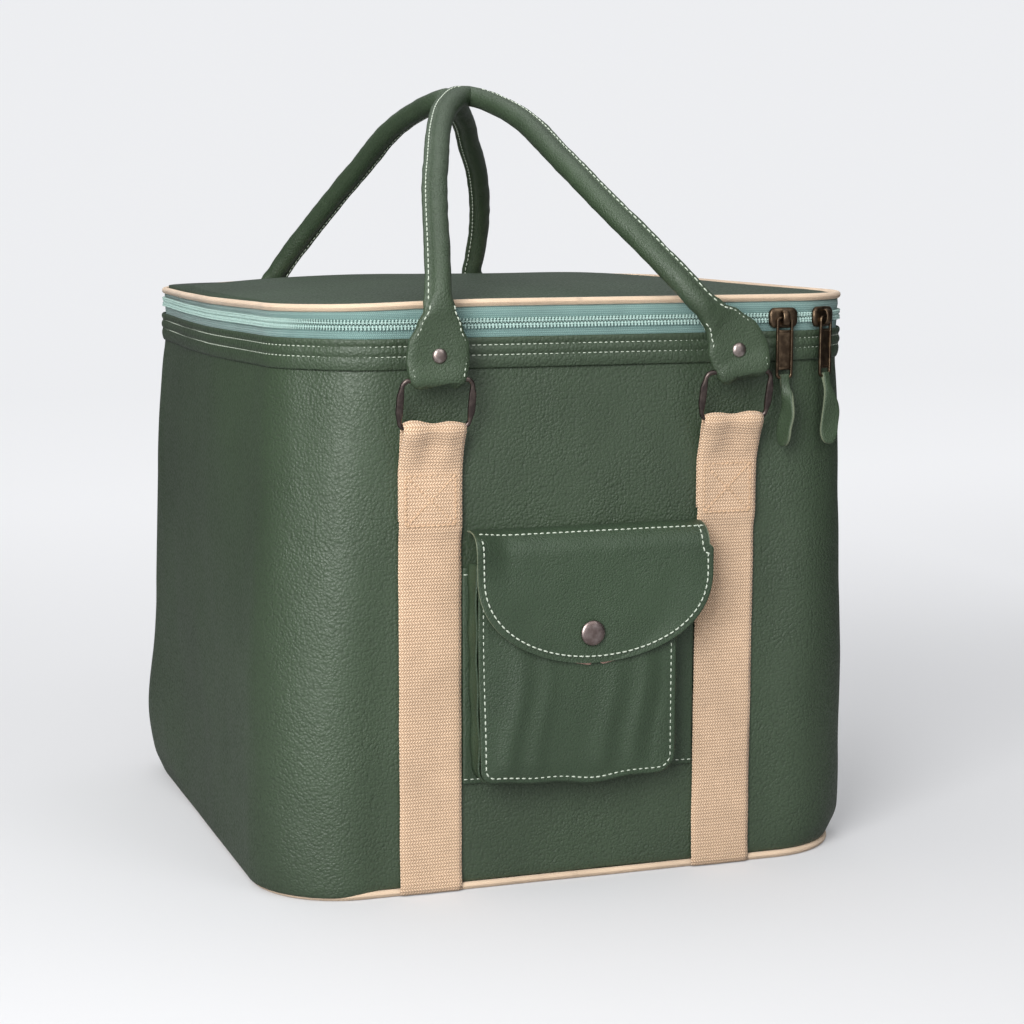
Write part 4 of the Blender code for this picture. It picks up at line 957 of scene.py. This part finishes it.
def rolled_handle(end, side):
    bar = pivots[f"handle_{end}_hinge"]
    run = abs(bar.y) - HANDLE_MEET

    def leg(rows, sign):
        return [Vector((sign * (STRAP_X - inward), side * (abs(bar.y) - share * run),
                        bar.z + rise * HANDLE_RISE))
                for inward, share, rise in rows]

    def foot(sign, drop):
        tilt = 0.0022 + 0.2 * drop if (end, sign) == ("front", 1) else 0.0
        return Vector((sign * STRAP_X + tilt, bar.y, bar.z - drop))

    top = Vector((TOP_X[end], side * HANDLE_MEET, bar.z + HANDLE_RISE))
    fine = smooth_line([foot(-1, TAB_LOOP), foot(-1, 0)] + leg(LEGS[end + "_left"], -1) + [top]
                       + leg(LEGS[end + "_right"], 1)[::-1] + [foot(1, 0), foot(1, TAB_LOOP)], 16)
    length = length_of(fine)
    count = round(length / 0.0026)
    stations = walk(fine, [length * k / count for k in range(count + 1)])
    sides = [Vector((1, 0, 0))]
    for (_, before), (_, after) in zip(stations, stations[1:]):
        sides.append(before.rotation_difference(after) @ sides[-1])
    last = stations[-1][1]
    target = (Vector((-1, 0, 0)) - last * -last.x).normalized()
    twist = math.atan2(last.dot(sides[-1].cross(target)), sides[-1].dot(target))
    # The flange points away from the middle of the arch; angles are close together round it.
    turns = [math.pi + math.radians(a) for a in (-150, -120, -95, -75, -58, -44, -33, -25, -19, -13, -6, 0,
                                                 6, 13, 19, 25, 33, 44, 58, 75, 95, 120, 150, 180)]
    seam_side = 1 if end == "front" else -1
    points, seam = [], []
    for i, (place, ahead) in enumerate(stations):
        across = Quaternion(ahead, twist * i / count) @ sides[i]
        depth = ahead.cross(across)
        run_in = min(i, count - i) * length / count - TAB_LOOP
        half, bulk, boxy = tab_row(run_in)
        rolled = ease((run_in - 0.034) / 0.014)
        flat = 1 - rolled
        for turn in turns:
            c, s = math.cos(turn), math.sin(turn)
            u = math.copysign(abs(c) ** boxy, c) * half * seam_side
            v = math.copysign(abs(s) ** boxy, s) * bulk
            away = abs(math.degrees(turn) - 180)
            fin = rolled * FLANGE * (1.0 if away < 10 else math.exp(-((away - 10) / 9) ** 2))
            u -= fin * seam_side
            if away < 30:
                v *= 1 - 0.25 * rolled
            spot = place + across * u + depth * v
            wrinkle = noise.noise(spot * 95.0) * 0.00032
            wrinkle += noise.noise(Vector((run_in * 130, turn * 0.8, side))) * 0.00030
            spot += (across * c * seam_side + depth * s) * wrinkle * (0.4 + 0.6 * rolled)
            if flat > 0 and run_in < 0.036:
                pull = run_in - RIVET_RISE
                reach = math.hypot(u, pull)
                rays = 0.00032 * math.sin(7 * math.atan2(u, pull) + 1.3)
                rays *= math.exp(-((reach - 0.008) / 0.005) ** 2)
                dent = -0.0007 * math.exp(-(reach / 0.0065) ** 2)
                rim = -0.0006 * math.exp(-((half * 0.84 - abs(u)) / 0.0011) ** 2)
                spot += depth * math.copysign(rays + dent + rim, v)
                notch = 0.0052 * math.exp(-((u - 0.001) / 0.0036) ** 2)
                notch -= 0.0012 * math.exp(-((abs(u) - 0.010) / 0.005) ** 2)
                inward = 1 if i < count / 2 else -1
                spot += ahead * (notch * max(0.0, 1 - (run_in + TAB_LOOP) / 0.0085) * inward)
            points.append(spot)
        flange_side = -across * seam_side
        if run_in > 0.042:
            seam.append((place + flange_side * (TUBE + FLANGE * 0.42), depth))
    columns = len(turns)
    faces = net(count + 1, columns, False, True)
    faces += [tuple(range(columns)), tuple(range(len(points) - columns, len(points)))]
    made = piece(f"rolled_handle_{end}", points, faces, handle_leather, f"handle_{end}", "green_leather",
                 f"handle_{end}", f"handle_{end}_core")
    sewn = [made]
    for label, sign in (("outer", 1), ("inner", -1)):
        route = [(p + d * sign * 0.0016, d * sign) for p, d in seam]
        sewn.append(stitches(f"handle_seam_{end}_{label}", route, 0.0042, f"handle_{end}", radius=0.00036))
    for label, at in (("left", 0), ("right", 1)):
        for face in (1, -1):
            for edge in (1, -1):
                route = []
                for k in range(26):
                    run_in = 0.001 + 0.041 * k / 25
                    travelled = run_in + TAB_LOOP
                    j = travelled / length * count
                    j = j if at == 0 else count - j
                    i = min(int(j), count - 1)
                    place = stations[i][0].lerp(stations[i + 1][0], j - i)
                    ahead = stations[i][1]
                    across = Quaternion(ahead, twist * j / count) @ sides[i]
                    depth = ahead.cross(across)
                    half, bulk, boxy = tab_row(run_in)
                    outwards = depth * face
                    lift = bulk * (0.93 if run_in < 0.034 else 0.93 - 0.2 * ease((run_in - 0.034) / 0.008))
                    route.append((place + across * edge * half * 0.84 + outwards * lift, outwards))
                row = ("a" if face > 0 else "b") + ("a" if edge > 0 else "b")
                sewn.append(stitches(f"tab_stitching_{end}_{label}_{row}", route, 0.0034, f"handle_{end}",
                                     radius=0.00036))
        spot = walk(fine, [TAB_LOOP + RIVET_RISE if at == 0 else length - TAB_LOOP - RIVET_RISE])[0][0]
        cap = [(0.0012, -0.0036), (0.0032, -0.0036), (0.0041, -0.0028), (0.0041, -0.0020), (0.0015, -0.0020),
               (0.0015, 0.0016), (0.0042, 0.0016), (0.0045, 0.0020), (0.0043, 0.0027), (0.0036, 0.0034),
               (0.0025, 0.0039), (0.0012, 0.0041), (0.0002, 0.0042)]
        sewn.append(turned_piece(f"rivet_cap_{end}_{label}", cap, spot, (0, side, 0), silver, f"handle_{end}",
                                 "antique_silver", f"rivet_{end}_{label}"))
    return sewn


rolled_handle("front", -1)
for sewn in rolled_handle("rear", 1):
    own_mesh(sewn)

# ---- Slip pocket and patch pocket ----------------------------------------------------------------
# A flat slip pocket of the same hide reaches from strap to strap; over it sits a deeper patch pocket,
# whose gusset shows as a step on its left and whose front sags into a few soft upright folds above a
# wavy hem.
pocket_leather = leather("pocket_leather", (0.036, 0.062, 0.032), 900.0, 0.00045)
slip_low, slip_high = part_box("slip_pocket_panel")
pocket_low, pocket_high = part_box("pocket_front")
gusset_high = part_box("pocket_gusset")[1]
POCKET_ROUND = 0.010


def skin(rows, thickness):
    """Points and faces of an even sheet behind a grid of points; the count of faces in front comes last."""
    up, wide = len(rows), len(rows[0])
    front = [Vector(p) for row in rows for p in row]
    back = []
    for i in range(up):
        for j in range(wide):
            ahead = Vector(rows[min(i + 1, up - 1)][j]) - Vector(rows[max(i - 1, 0)][j])
            along = Vector(rows[i][min(j + 1, wide - 1)]) - Vector(rows[i][max(j - 1, 0)])
            back.append(front[i * wide + j] + ahead.cross(along).normalized() * thickness)
    faces = net(up, wide)
    shown = len(faces)
    faces += net(up, wide, start=up * wide)
    rim = list(range(wide)) + [i * wide + wide - 1 for i in range(1, up)]
    rim += [(up - 1) * wide + j for j in range(wide - 2, -1, -1)] + [i * wide for i in range(up - 2, 0, -1)]
    total = up * wide
    faces += [(a, b, b + total, a + total) for a, b in zip(rim, rim[1:] + rim[:1])]
    return front + back, faces, shown


def slip_face(x, z):
    """The slip pocket's outer face: flat where it is sewn, a little loose in between."""
    loose = 0.0009 * noise.noise(Vector((x * 22, z * 16, 4.4))) + 0.0003 * noise.noise(Vector((x * 80,
                                                                                               z * 60, 1)))
    hem = 0.0005 * math.exp(-((slip_high.z - 0.0022 - z) / 0.0018) ** 2)
    groove = sum(math.exp(-((z - row) / 0.0009) ** 2) for row in (slip_high.z - 0.0045, slip_low.z + 0.0030))
    return HALF_DEPTH + 0.0019 + max(loose, -0.0003) + hem - 0.0005 * groove


def slip_pocket():
    rows = []
    for i in range(66):
        z = slip_low.z + (slip_high.z - slip_low.z) * i / 65
        row = []
        for j in range(60):
            x = slip_low.x + (slip_high.x - slip_low.x) * j / 59
            dip = 0.0009 * math.sin(x * 38 + 0.6) * (1 - i / 65) + 0.0006 * math.sin(x * 30) * (i / 65) ** 4
            row.append((x, -slip_face(x, z), z + dip))
        rows.append(row)
    points, faces, _ = skin(rows, 0.0015)
    soften(piece("slip_pocket", points, faces, pocket_leather, "root", "green_leather", "slip_pocket_panel"))
    for label, z in (("top", slip_high.z - 0.0045), ("bottom", slip_low.z + 0.0030)):
        route = []
        for j in range(80):
            x = slip_low.x + (slip_high.x - slip_low.x) * j / 79
            dip = 0.0009 * math.sin(x * 38 + 0.6) if label == "bottom" else 0.0006 * math.sin(x * 30)
            route.append(((x, -slip_face(x, z) - 0.0001, z + dip), (0, -1, 0)))
        stitches(f"slip_pocket_stitching_{label}", route, 0.0039, "root", radius=0.00038)


slip_pocket()
FOLDS = ((-0.047, 0.0060, 0.0017), (-0.030, 0.0055, 0.0010), (0.012, 0.0070, 0.0016), (0.031, 0.0050, 0.0013),
         (0.043, 0.0045, -0.0010))  # soft upright folds in the pocket's front: (x, half width, depth)


def pocket_sag(x, z):
    """How far the pocket's front stands out from its flat pattern."""
    low = ease((pocket_high.z - z) / 0.09)
    edge = min(x - pocket_low.x, pocket_high.x - x, z - pocket_low.z)
    sewn = ease(edge / 0.014)
    fold = sum(d * math.exp(-((x - at - 0.004 * math.sin(z * 60)) / w) ** 2) for at, w, d in FOLDS) * low
    loose = noise.noise(Vector((x * 30, z * 14, 7.7))) * 0.0012
    fill = 0.0011 * math.sin(math.pi * min(max((x - pocket_low.x) / (pocket_high.x - pocket_low.x), 0), 1))
    return (fold * 0.9 + loose + fill) * sewn - 0.0004 * math.exp(-((edge - 0.003) / 0.0009) ** 2)


def pocket_spot(u, v):
    """A point of the front for u across and v up, each from 0 to 1, with the lower corners rounded."""
    wide, tall = pocket_high.x - pocket_low.x, pocket_high.z - pocket_low.z
    x, z = u * wide, v * tall
    for corner_x in (POCKET_ROUND, wide - POCKET_ROUND):
        dx, dz = x - corner_x, z - POCKET_ROUND
        if dz < 0 and dx * (corner_x - wide / 2) > 0:
            far = max(abs(dx), abs(dz))
            scale = far / max(math.hypot(dx, dz), 1e-9)
            x, z = corner_x + dx * scale, POCKET_ROUND + dz * scale
    wave = (0.0016 * math.sin(u * 7.5 + 0.4) + 0.0007 * math.sin(u * 19)) * (1 - v) ** 3
    lean = 0.0016 * math.sin(v * 4 + 1) * (1 - u)
    x, z = pocket_low.x + x + lean * (1 - v), pocket_low.z + z + wave
    return x, z


def patch_pocket():
    rows = []
    for i in range(72):
        row = []
        for j in range(70):
            x, z = pocket_spot(j / 69, i / 71)
            row.append((x, pocket_low.y - 0.0003 - pocket_sag(x, z), z))
        rows.append(row)
    points, faces, _ = skin(rows, 0.0015)
    soften(piece("patch_pocket_front", points, faces, pocket_leather, "root", "green_leather",
                 "pocket_front"))
    wide, tall = pocket_high.x - pocket_low.x, pocket_high.z - pocket_low.z
    inset_u, inset_v = 0.0032 / wide, 0.0032 / tall
    ring = [(inset_u, 1 - k * (1 - inset_v) / 60) for k in range(61)]
    ring += [(inset_u + (1 - 2 * inset_u) * k / 60, inset_v) for k in range(1, 61)]
    ring += [(1 - inset_u, inset_v + (1 - inset_v) * k / 60) for k in range(1, 61)]
    route = []
    for u, v in ring:
        x, z = pocket_spot(u, v)
        route.append(((x, pocket_low.y - 0.0003 - pocket_sag(x, z) + 0.0001, z), (0, -1, 0)))
    stitches("patch_pocket_stitching", route, 0.0039, "root", radius=0.00040)
    # The gusset follows the same outline, pinched in halfway between the slip pocket and the front.
    around = [(0.0, 1 - k / 40) for k in range(41)] + [(k / 40, 0.0) for k in range(1, 41)]
    around += [(1.0, k / 40) for k in range(1, 41)]
    rows = []
    for k in range(9):
        share = k / 8
        y = gusset_high.y + (pocket_high.y - gusset_high.y) * share
        pinch = 0.0022 * math.sin(math.pi * share)
        row = []
        for u, v in around:
            x, z = pocket_spot(u, v)
            middle_x = (pocket_low.x + pocket_high.x) / 2
            inward_x = pinch * (1 if x < middle_x else -1) * min(1.0, abs(x - middle_x) / 0.05)
            row.append((x + inward_x + 0.0004 * math.sin(z * 190 + share * 3), y,
                        z + (pinch if v < 0.05 else 0)))
        rows.append(row)
    points, faces, _ = skin(rows, -0.0013)
    piece("patch_pocket_gusset", points, faces, pocket_leather, "root", "green_leather", "pocket_gusset")


patch_pocket()

# ---- Pocket flap and press stud ------------------------------------------------------------------
# One round-ended leaf, sewn to the body along its top and rolled forward over the pocket's mouth. Its
# hide is suede on the inside, raw at the edge, with one row of stitching round it and a press stud
# through its lower part.
FLAP_LEFT, FLAP_RIGHT, FLAP_TOP, FLAP_SHOULDER, FLAP_LOW = -0.071, 0.077, 0.216, 0.190, 0.137
FLAP_OUT, ROLL_DEEP, ROLL_TALL, ROLL_HALF = 0.2066, 0.0205, 0.014, 0.0734
suede = plain_material("pink_suede", (0.36, 0.235, 0.19), 0.95)
raw_edge = plain_material("raw_leather_edge", (0.17, 0.20, 0.13), 0.8)
roughen(suede, 900.0, 0.5, 0.0003)
roughen(raw_edge, 1500.0, 0.5, 0.0003)


def flap_spot(u, t):
    """A point of the flap's outer face: u from -1 to 1 across, t from 0 at the seam to 1 at the round end."""
    if t < 0.25:
        turn = math.pi / 2 * t / 0.25
        out, z = FLAP_OUT - ROLL_DEEP * (1 - math.sin(turn)), FLAP_TOP - ROLL_TALL * (1 - math.cos(turn))
        z += 0.0016 * math.sin(2 * turn)
    else:
        share = (t - 0.25) / 0.75
        straight = FLAP_TOP - ROLL_TALL - FLAP_SHOULDER
        full = straight + (FLAP_SHOULDER - FLAP_LOW) * math.pi / 2
        travelled = share * full
        if travelled < straight:
            z = FLAP_TOP - ROLL_TALL - travelled
        else:
            tall = FLAP_SHOULDER - FLAP_LOW
            z = FLAP_SHOULDER - tall * math.sin((travelled - straight) / tall)
        out = FLAP_OUT
    low = max(FLAP_SHOULDER - z, 0) / (FLAP_SHOULDER - FLAP_LOW)
    half = (FLAP_RIGHT - FLAP_LEFT) / 2 * max(1 - low ** 2.2, 0.0) ** 0.5
    half = max(half, 0.004)
    middle = (FLAP_LEFT + FLAP_RIGHT) / 2
    x = middle + u * half
    x = min(max(x, -ROLL_HALF), ROLL_HALF) if z > FLAP_TOP - ROLL_TALL else x
    loose = 0.0010 * noise.noise(Vector((x * 20, z * 24, 11.0))) + 0.0004 * noise.noise(Vector((x * 60,
                                                                                                z * 60, 2.0)))
    dent = -0.0010 * math.exp(-(((x - 0.001) / 0.012) ** 2 + ((z - 0.155) / 0.012) ** 2))
    curl = ease((-u - 0.72) / 0.28) * math.exp(-((t - 0.20) / 0.12) ** 2) * 0.0065
    lift = 0.0024 * ease((abs(u) - 0.6) / 0.4) * math.exp(-((t - 0.62) / 0.22) ** 2)
    calm = ease(t / 0.1)
    return Vector((x - curl * 0.35, -(out + (loose + dent + lift) * calm + curl), z + curl * 0.5))


def pocket_flap():
    rows = [[flap_spot(-1 + 2 * j / 72, 1 - i / 84) for j in range(73)] for i in range(85)]
    points, faces, shown = skin(rows, 0.0015)
    made = piece("pocket_flap_leaf", points, faces, pocket_leather, "pocket_flap", "green_leather",
                 "pocket_flap")
    made.data.materials.append(suede)
    made.data.materials.append(raw_edge)
    kinds = [0 if k < shown else 1 if k < 2 * shown else 2 for k in range(len(faces))]
    made.data.polygons.foreach_set("material_index", kinds)
    soften(made)
    # The row of stitching runs an even 4 mm inside the edge, stepped in from each point of the outline.
    rim = [(-1.0, 0.10 + 0.88 * k / 60) for k in range(61)] + [(1.0, 0.98 - 0.88 * k / 60) for k in range(61)]
    edge = [flap_spot(u, t) for u, t in rim]
    centre = Vector((0.003, -FLAP_OUT, 0.190))
    route = []
    for k, p in enumerate(edge):
        along = edge[min(k + 1, len(edge) - 1)] - edge[max(k - 1, 0)]
        inward = Vector((-along.z, 0, along.x)).normalized()
        if inward.dot(centre - p) < 0:
            inward = -inward
        route.append((p + inward * 0.0040 - Vector((0, 0.0003, 0)), (0, -1, 0)))
    stitches("flap_stitching", route, 0.0039, "pocket_flap", radius=0.00042)
    top = [(flap_spot(-0.96 + 1.92 * k / 60, 0.115), (0, -0.6, 0.8)) for k in range(61)]
    stitches("flap_top_stitching", top, 0.0039, "pocket_flap", radius=0.00040)


pocket_flap()
stud_brown = patchy_metal("brown_silver", (0.235, 0.18, 0.165), (0.40, 0.33, 0.31), 0.36)
turned_piece("press_stud_cap", [(0.0010, 0.0), (0.0070, 0.0), (0.0075, 0.0004), (0.0075, 0.0009),
                                (0.0071, 0.0014), (0.0060, 0.0019), (0.0044, 0.0022), (0.0024, 0.0024),
                                (0.0003, 0.0025)],
             (0.0, -FLAP_OUT - 0.0002, 0.155), (0, -1, 0), stud_brown, "pocket_flap", "antique_silver",
             "snap_cap")

# ---- Zip sliders, pulls and leather tags ---------------------------------------------------------
# Cast sliders with a domed crown, each with a long framed pull in dark antique brass, rubbed brighter in
# places. A leather tag is folded through each pull's lower slot: the left one has twisted edge-on, the
# right one hangs nearly flat.
brass = patchy_metal("antique_brass", (0.085, 0.058, 0.038), (0.19, 0.135, 0.085), 0.36)
PULL_HALF, PULL_LONG, PULL_BAR_OUT = 0.0056, 0.0372, 0.00465
SLIDERS = {"left": Matrix.Translation((0.1285, -HALF_DEPTH, ZIP_LINE)),
           "right": Matrix.Translation((HALF_WIDTH - CORNER, -SIDE_RUN,
                                        ZIP_LINE)) @ Matrix.Rotation(math.radians(26), 4, "Z")
           @ Matrix.Translation((0, -CORNER, 0))}


def rounded_box(half_x, half_z, bend, steps=6):
    spots = []
    for turn, (cx, cz) in enumerate(((half_x - bend, half_z - bend), (bend - half_x, half_z - bend),
                                     (bend - half_x, bend - half_z), (half_x - bend, bend - half_z))):
        for k in range(steps):
            angle = math.radians(90 * turn + 90 * k / (steps - 1))
            spots.append((cx + bend * math.cos(angle), cz + bend * math.sin(angle)))
    return spots


def stack(layers, place):
    """Points and faces of a closed loft: (outline, centre x, out, centre z) for each layer."""
    points = [place @ Vector((cx + x, -out, cz + z)) for outline, cx, out, cz in layers for x, z in outline]
    count = len(layers[0][0])
    faces = net(len(layers), count, False, True)
    return points, faces + [tuple(range(count)), tuple(range(len(points) - count, len(points)))]


def frame_of(outer, inner, cz, low, high, place):
    """Points and faces of a flat frame with eased edges."""
    count, ease_in = len(outer), 0.0003
    loops = [([(x * 0.94, z * 0.985) for x, z in outer], low), (outer, low + ease_in),
             (outer, high - ease_in), ([(x * 0.94, z * 0.985) for x, z in outer], high),
             ([(x * 1.05, z * 1.02) for x, z in inner], high), (inner, high - ease_in),
             (inner, low + ease_in), ([(x * 1.05, z * 1.02) for x, z in inner], low)]
    points = [place @ Vector((x, -out, cz + z)) for loop, out in loops for x, z in loop]
    return points, net(len(loops), count, True, True)


def joined(parts):
    points, faces = [], []
    for more_points, more_faces in parts:
        faces += [tuple(k + len(points) for k in face) for face in more_faces]
        points += more_points
    return points, faces


def zip_slider(label, place):
    body = [(rounded_box(0.0090, 0.0058, 0.004), 0, 0.0004, 0),
            (rounded_box(0.0094, 0.0062, 0.004), 0, 0.0012, 0),
            (rounded_box(0.0094, 0.0062, 0.004), 0, 0.0026, 0),
            (rounded_box(0.0086, 0.0054, 0.004), 0, 0.0036, 0),
            (rounded_box(0.0064, 0.0040, 0.003), 0, 0.0040, 0)]
    arch = [(0.0030, -0.0040), (0.0052, -0.0042), (0.0067, -0.0034), (0.0074, -0.0014), (0.0074, 0.0014),
            (0.0067, 0.0034), (0.0052, 0.0042), (0.0030, 0.0040)]
    loop = []
    for k, (out, z) in enumerate(arch):
        before, after = arch[max(k - 1, 0)], arch[min(k + 1, len(arch) - 1)]
        d = Vector((after[0] - before[0], after[1] - before[1])).normalized()
        across = Vector((-d.y, d.x))
        for turn in range(10):
            angle = math.tau * turn / 10
            x, n = 0.0024 * math.cos(angle), 0.0009 * math.sin(angle)
            loop.append(place @ Vector((x, -(out + across.x * n), z + across.y * n)))
    crown = (loop, net(len(arch), 10, False, True) + [tuple(range(10)), tuple(range(70, 80))])
    points, faces = joined([stack(body, place), crown])
    soften(piece(f"zip_slider_body_{label}", points, faces, brass, f"zip_slider_{label}", "antique_brass",
                 f"zip_slider_{label}"))


def zip_pull(label, place):
    out = PULL_BAR_OUT
    outer, inner = rounded_box(PULL_HALF, PULL_LONG / 2, 0.0026), rounded_box(0.0039,
                                                                              PULL_LONG / 2 - 0.0017, 0.0016)
    middle = -PULL_LONG / 2 + 0.0008
    parts = [frame_of(outer, inner, middle, out - 0.0009, out + 0.0010, place)]
    plate = rounded_box(0.0043, 0.0112, 0.0012)
    parts.append(stack([(plate, 0, out - 0.0005, -0.0190), (plate, 0, out + 0.0002, -0.0190),
                        (rounded_box(0.0032, 0.0100, 0.0012), 0, out + 0.0005, -0.0190)], place))
    for z in (-0.0080, -0.0302):
        bar = rounded_box(0.0045, 0.0009, 0.0004)
        parts.append(stack([(bar, 0, out - 0.0008, z), (bar, 0, out + 0.0008, z)], place))
    points, faces = joined(parts)
    soften(piece(f"zip_pull_body_{label}", points, faces, brass, f"zip_pull_{label}", "antique_brass",
                 f"zip_pull_{label}"))


def pull_tag(label, place, twist, line):
    """A strip of hide folded round the pull's lower bar; its raw edges show pale."""
    fine = smooth_line([Vector((x, -out, z)) for x, out, z in line], 8)
    length = length_of(fine)
    steps = 46
    points = []
    for i, (at, ahead) in enumerate(walk(fine, [length * k / steps for k in range(steps + 1)])):
        s = i / steps
        half = 0.0027 + 0.0036 * ease((s - 0.15) / 0.45)
        if s > 0.80:
            half *= math.sqrt(max(1 - ((s - 0.80) / 0.205) ** 2, 0.02))
        bulk = 0.0012 + 0.0008 * math.exp(-(s / 0.09) ** 2)
        wide = Quaternion(ahead, math.radians(twist) * ease((s - 0.08) / 0.35)) @ Vector((1, 0, 0))
        wide = (wide - ahead * wide.dot(ahead)).normalized()
        deep = ahead.cross(wide)
        cup = 0.0007 * math.sin(s * 7)
        for u, v in ((-1, -0.8), (-0.92, -1), (-0.4, -1), (0.4, -1), (0.92, -1), (1, -0.8),
                     (1, 0.8), (0.92, 1), (0.4, 1), (-0.4, 1), (-0.92, 1), (-1, 0.8)):
            points.append(place @ (at + wide * u * half + deep * (v * bulk + cup * (1 - u * u))))
    faces = net(steps + 1, 12, False, True)
    side_faces = [k % 12 in (5, 11) for k in range(len(faces))]
    faces += [tuple(range(12)), tuple(range(len(points) - 12, len(points)))]
    made = piece(f"leather_tag_{label}", points, faces, handle_leather, f"pull_tag_{label}", "green_leather",
                 f"pull_tag_{label}")
    made.data.materials.append(raw_edge)
    made.data.polygons.foreach_set("material_index", [int(k) for k in side_faces + [True, True]])
    soften(made)


for label, place in SLIDERS.items():
    zip_slider(label, place)
    zip_pull(label, place)
pull_tag("left", SLIDERS["left"], 78, [(0, 0.0046, -0.0335), (0.0003, 0.0058, -0.0400),
                                       (0.0008, 0.0088, -0.0480), (0.0004, 0.0096, -0.0570),
                                       (-0.0012, 0.0090, -0.0660), (-0.0016, 0.0092, -0.0765)])
pull_tag("right", SLIDERS["right"], 16, [(0, 0.0046, -0.0335), (0.0002, 0.0064, -0.0400),
                                         (0.0014, 0.0078, -0.0480), (0.0034, 0.0076, -0.0570),
                                         (0.0026, 0.0072, -0.0665), (0.0004, 0.0082, -0.0770)])

# ---- Base, linings and hidden pieces -------------------------------------------------------------
# The base is the same hide over a board and keeps its CAD shape; the foam, the wipe-clean grey lining
# and the strip that hinges the lid are soft, so they are drawn in at the bag's left end together with
# the leather.
cloth_lining = plain_material("grey_lining", (0.50, 0.51, 0.52), 0.4)
white_foam = plain_material("closed_cell_foam", (0.82, 0.82, 0.80), 0.9)
grey_board = plain_material("fibreboard", (0.30, 0.23, 0.16), 0.9)
roughen(cloth_lining, 420.0, 0.4, 0.0004)
roughen(white_foam, 700.0, 0.4, 0.0006)
roughen(grey_board, 300.0, 0.4, 0.0004)
slots = {row["node"]: row["material_slot"] for row in frame["record"]["subparts"]}


def soft_wall(name, cad_node, finish, thickness, begin=0.0, end=ROUND, floor=0.0):
    """An upright layer carried round the bag between its CAD heights; floor is its floor's thickness."""
    low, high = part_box(cad_node)
    outer = high.y - HALF_DEPTH
    whole = end - begin == ROUND
    rounds, rows = 160, 12
    points = []
    for i in range(rounds):
        along = begin + (end - begin) * i / (rounds if whole else rounds - 1)
        heights = [low.z + (high.z - low.z) * k / (rows - 1) for k in range(rows)]
        points += [off_wall(along, outer, z) for z in heights]
        points += [off_wall(along, outer - thickness, z) for z in heights[:0:-1] + [low.z + floor]]
    columns = 2 * rows
    faces = net(rounds, columns, whole, not floor)
    ends = [range(columns), range(len(points) - columns, len(points))] if not whole else []
    if floor:
        ends = [range(0, len(points), columns), range(columns - 1, len(points), columns)]
    piece(name, points, faces + [tuple(k) for k in ends], finish, cad[cad_node]["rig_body"],
          slots[cad_node], cad_node, smooth=False)


def soft_plate(name, cad_node, finish, edge_top=None):
    """A flat layer of the lid; with edge_top it rises from there to the middle, under a crowned lid."""
    low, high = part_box(cad_node)
    outer, rounds = high.x - HALF_WIDTH, 160
    rings = [(1.0, low.z)]
    for share in (1.0, 0.9, 0.75, 0.55, 0.3) if edge_top else (1.0,):
        rings.append((share,
                      edge_top + (high.z - edge_top) * (1 - share ** 2) / 0.91 if edge_top else high.z))
    points = []
    for share, z in rings:
        for i in range(rounds):
            foot = off_wall(ROUND * i / rounds, outer, edge_top or low.z)
            sag = (foot.z - edge_top) * share ** 2 if edge_top and z > low.z else 0.0
            points.append((foot.x * share, foot.y * share, z + sag))
    faces = net(len(rings), rounds, False, True)
    faces += [tuple(range(rounds)), tuple(range(len(points) - rounds, len(points)))]
    piece(name, points, faces, finish, cad[cad_node]["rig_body"], slots[cad_node], cad_node, smooth=False)


soft_wall("wall_foam_layer", "wall_foam", white_foam, 0.0080)
soft_wall("lining_tub", "liner_tub", cloth_lining, 0.0015, floor=0.0015)
soft_wall("lid_hinge_strip", "hinge_strip", pocket_leather, 0.0010, ROUND / 2 - FRONT_RUN,
          ROUND / 2 + FRONT_RUN)
soft_plate("lid_foam_layer", "lid_foam", white_foam, lid_low.z - 0.0003)
soft_plate("lid_lining_cloth", "lid_lining", cloth_lining)
FINISHES = {
    "bottom_panel": body_leather, "base_board": grey_board, "base_foam": white_foam, "snap_stud": stud_brown,
    "snap_post": stud_brown, "snap_socket": stud_brown,
}
for name, finish in FINISHES.items():
    cad[name].data.materials.clear()
    cad[name].data.materials.append(finish)
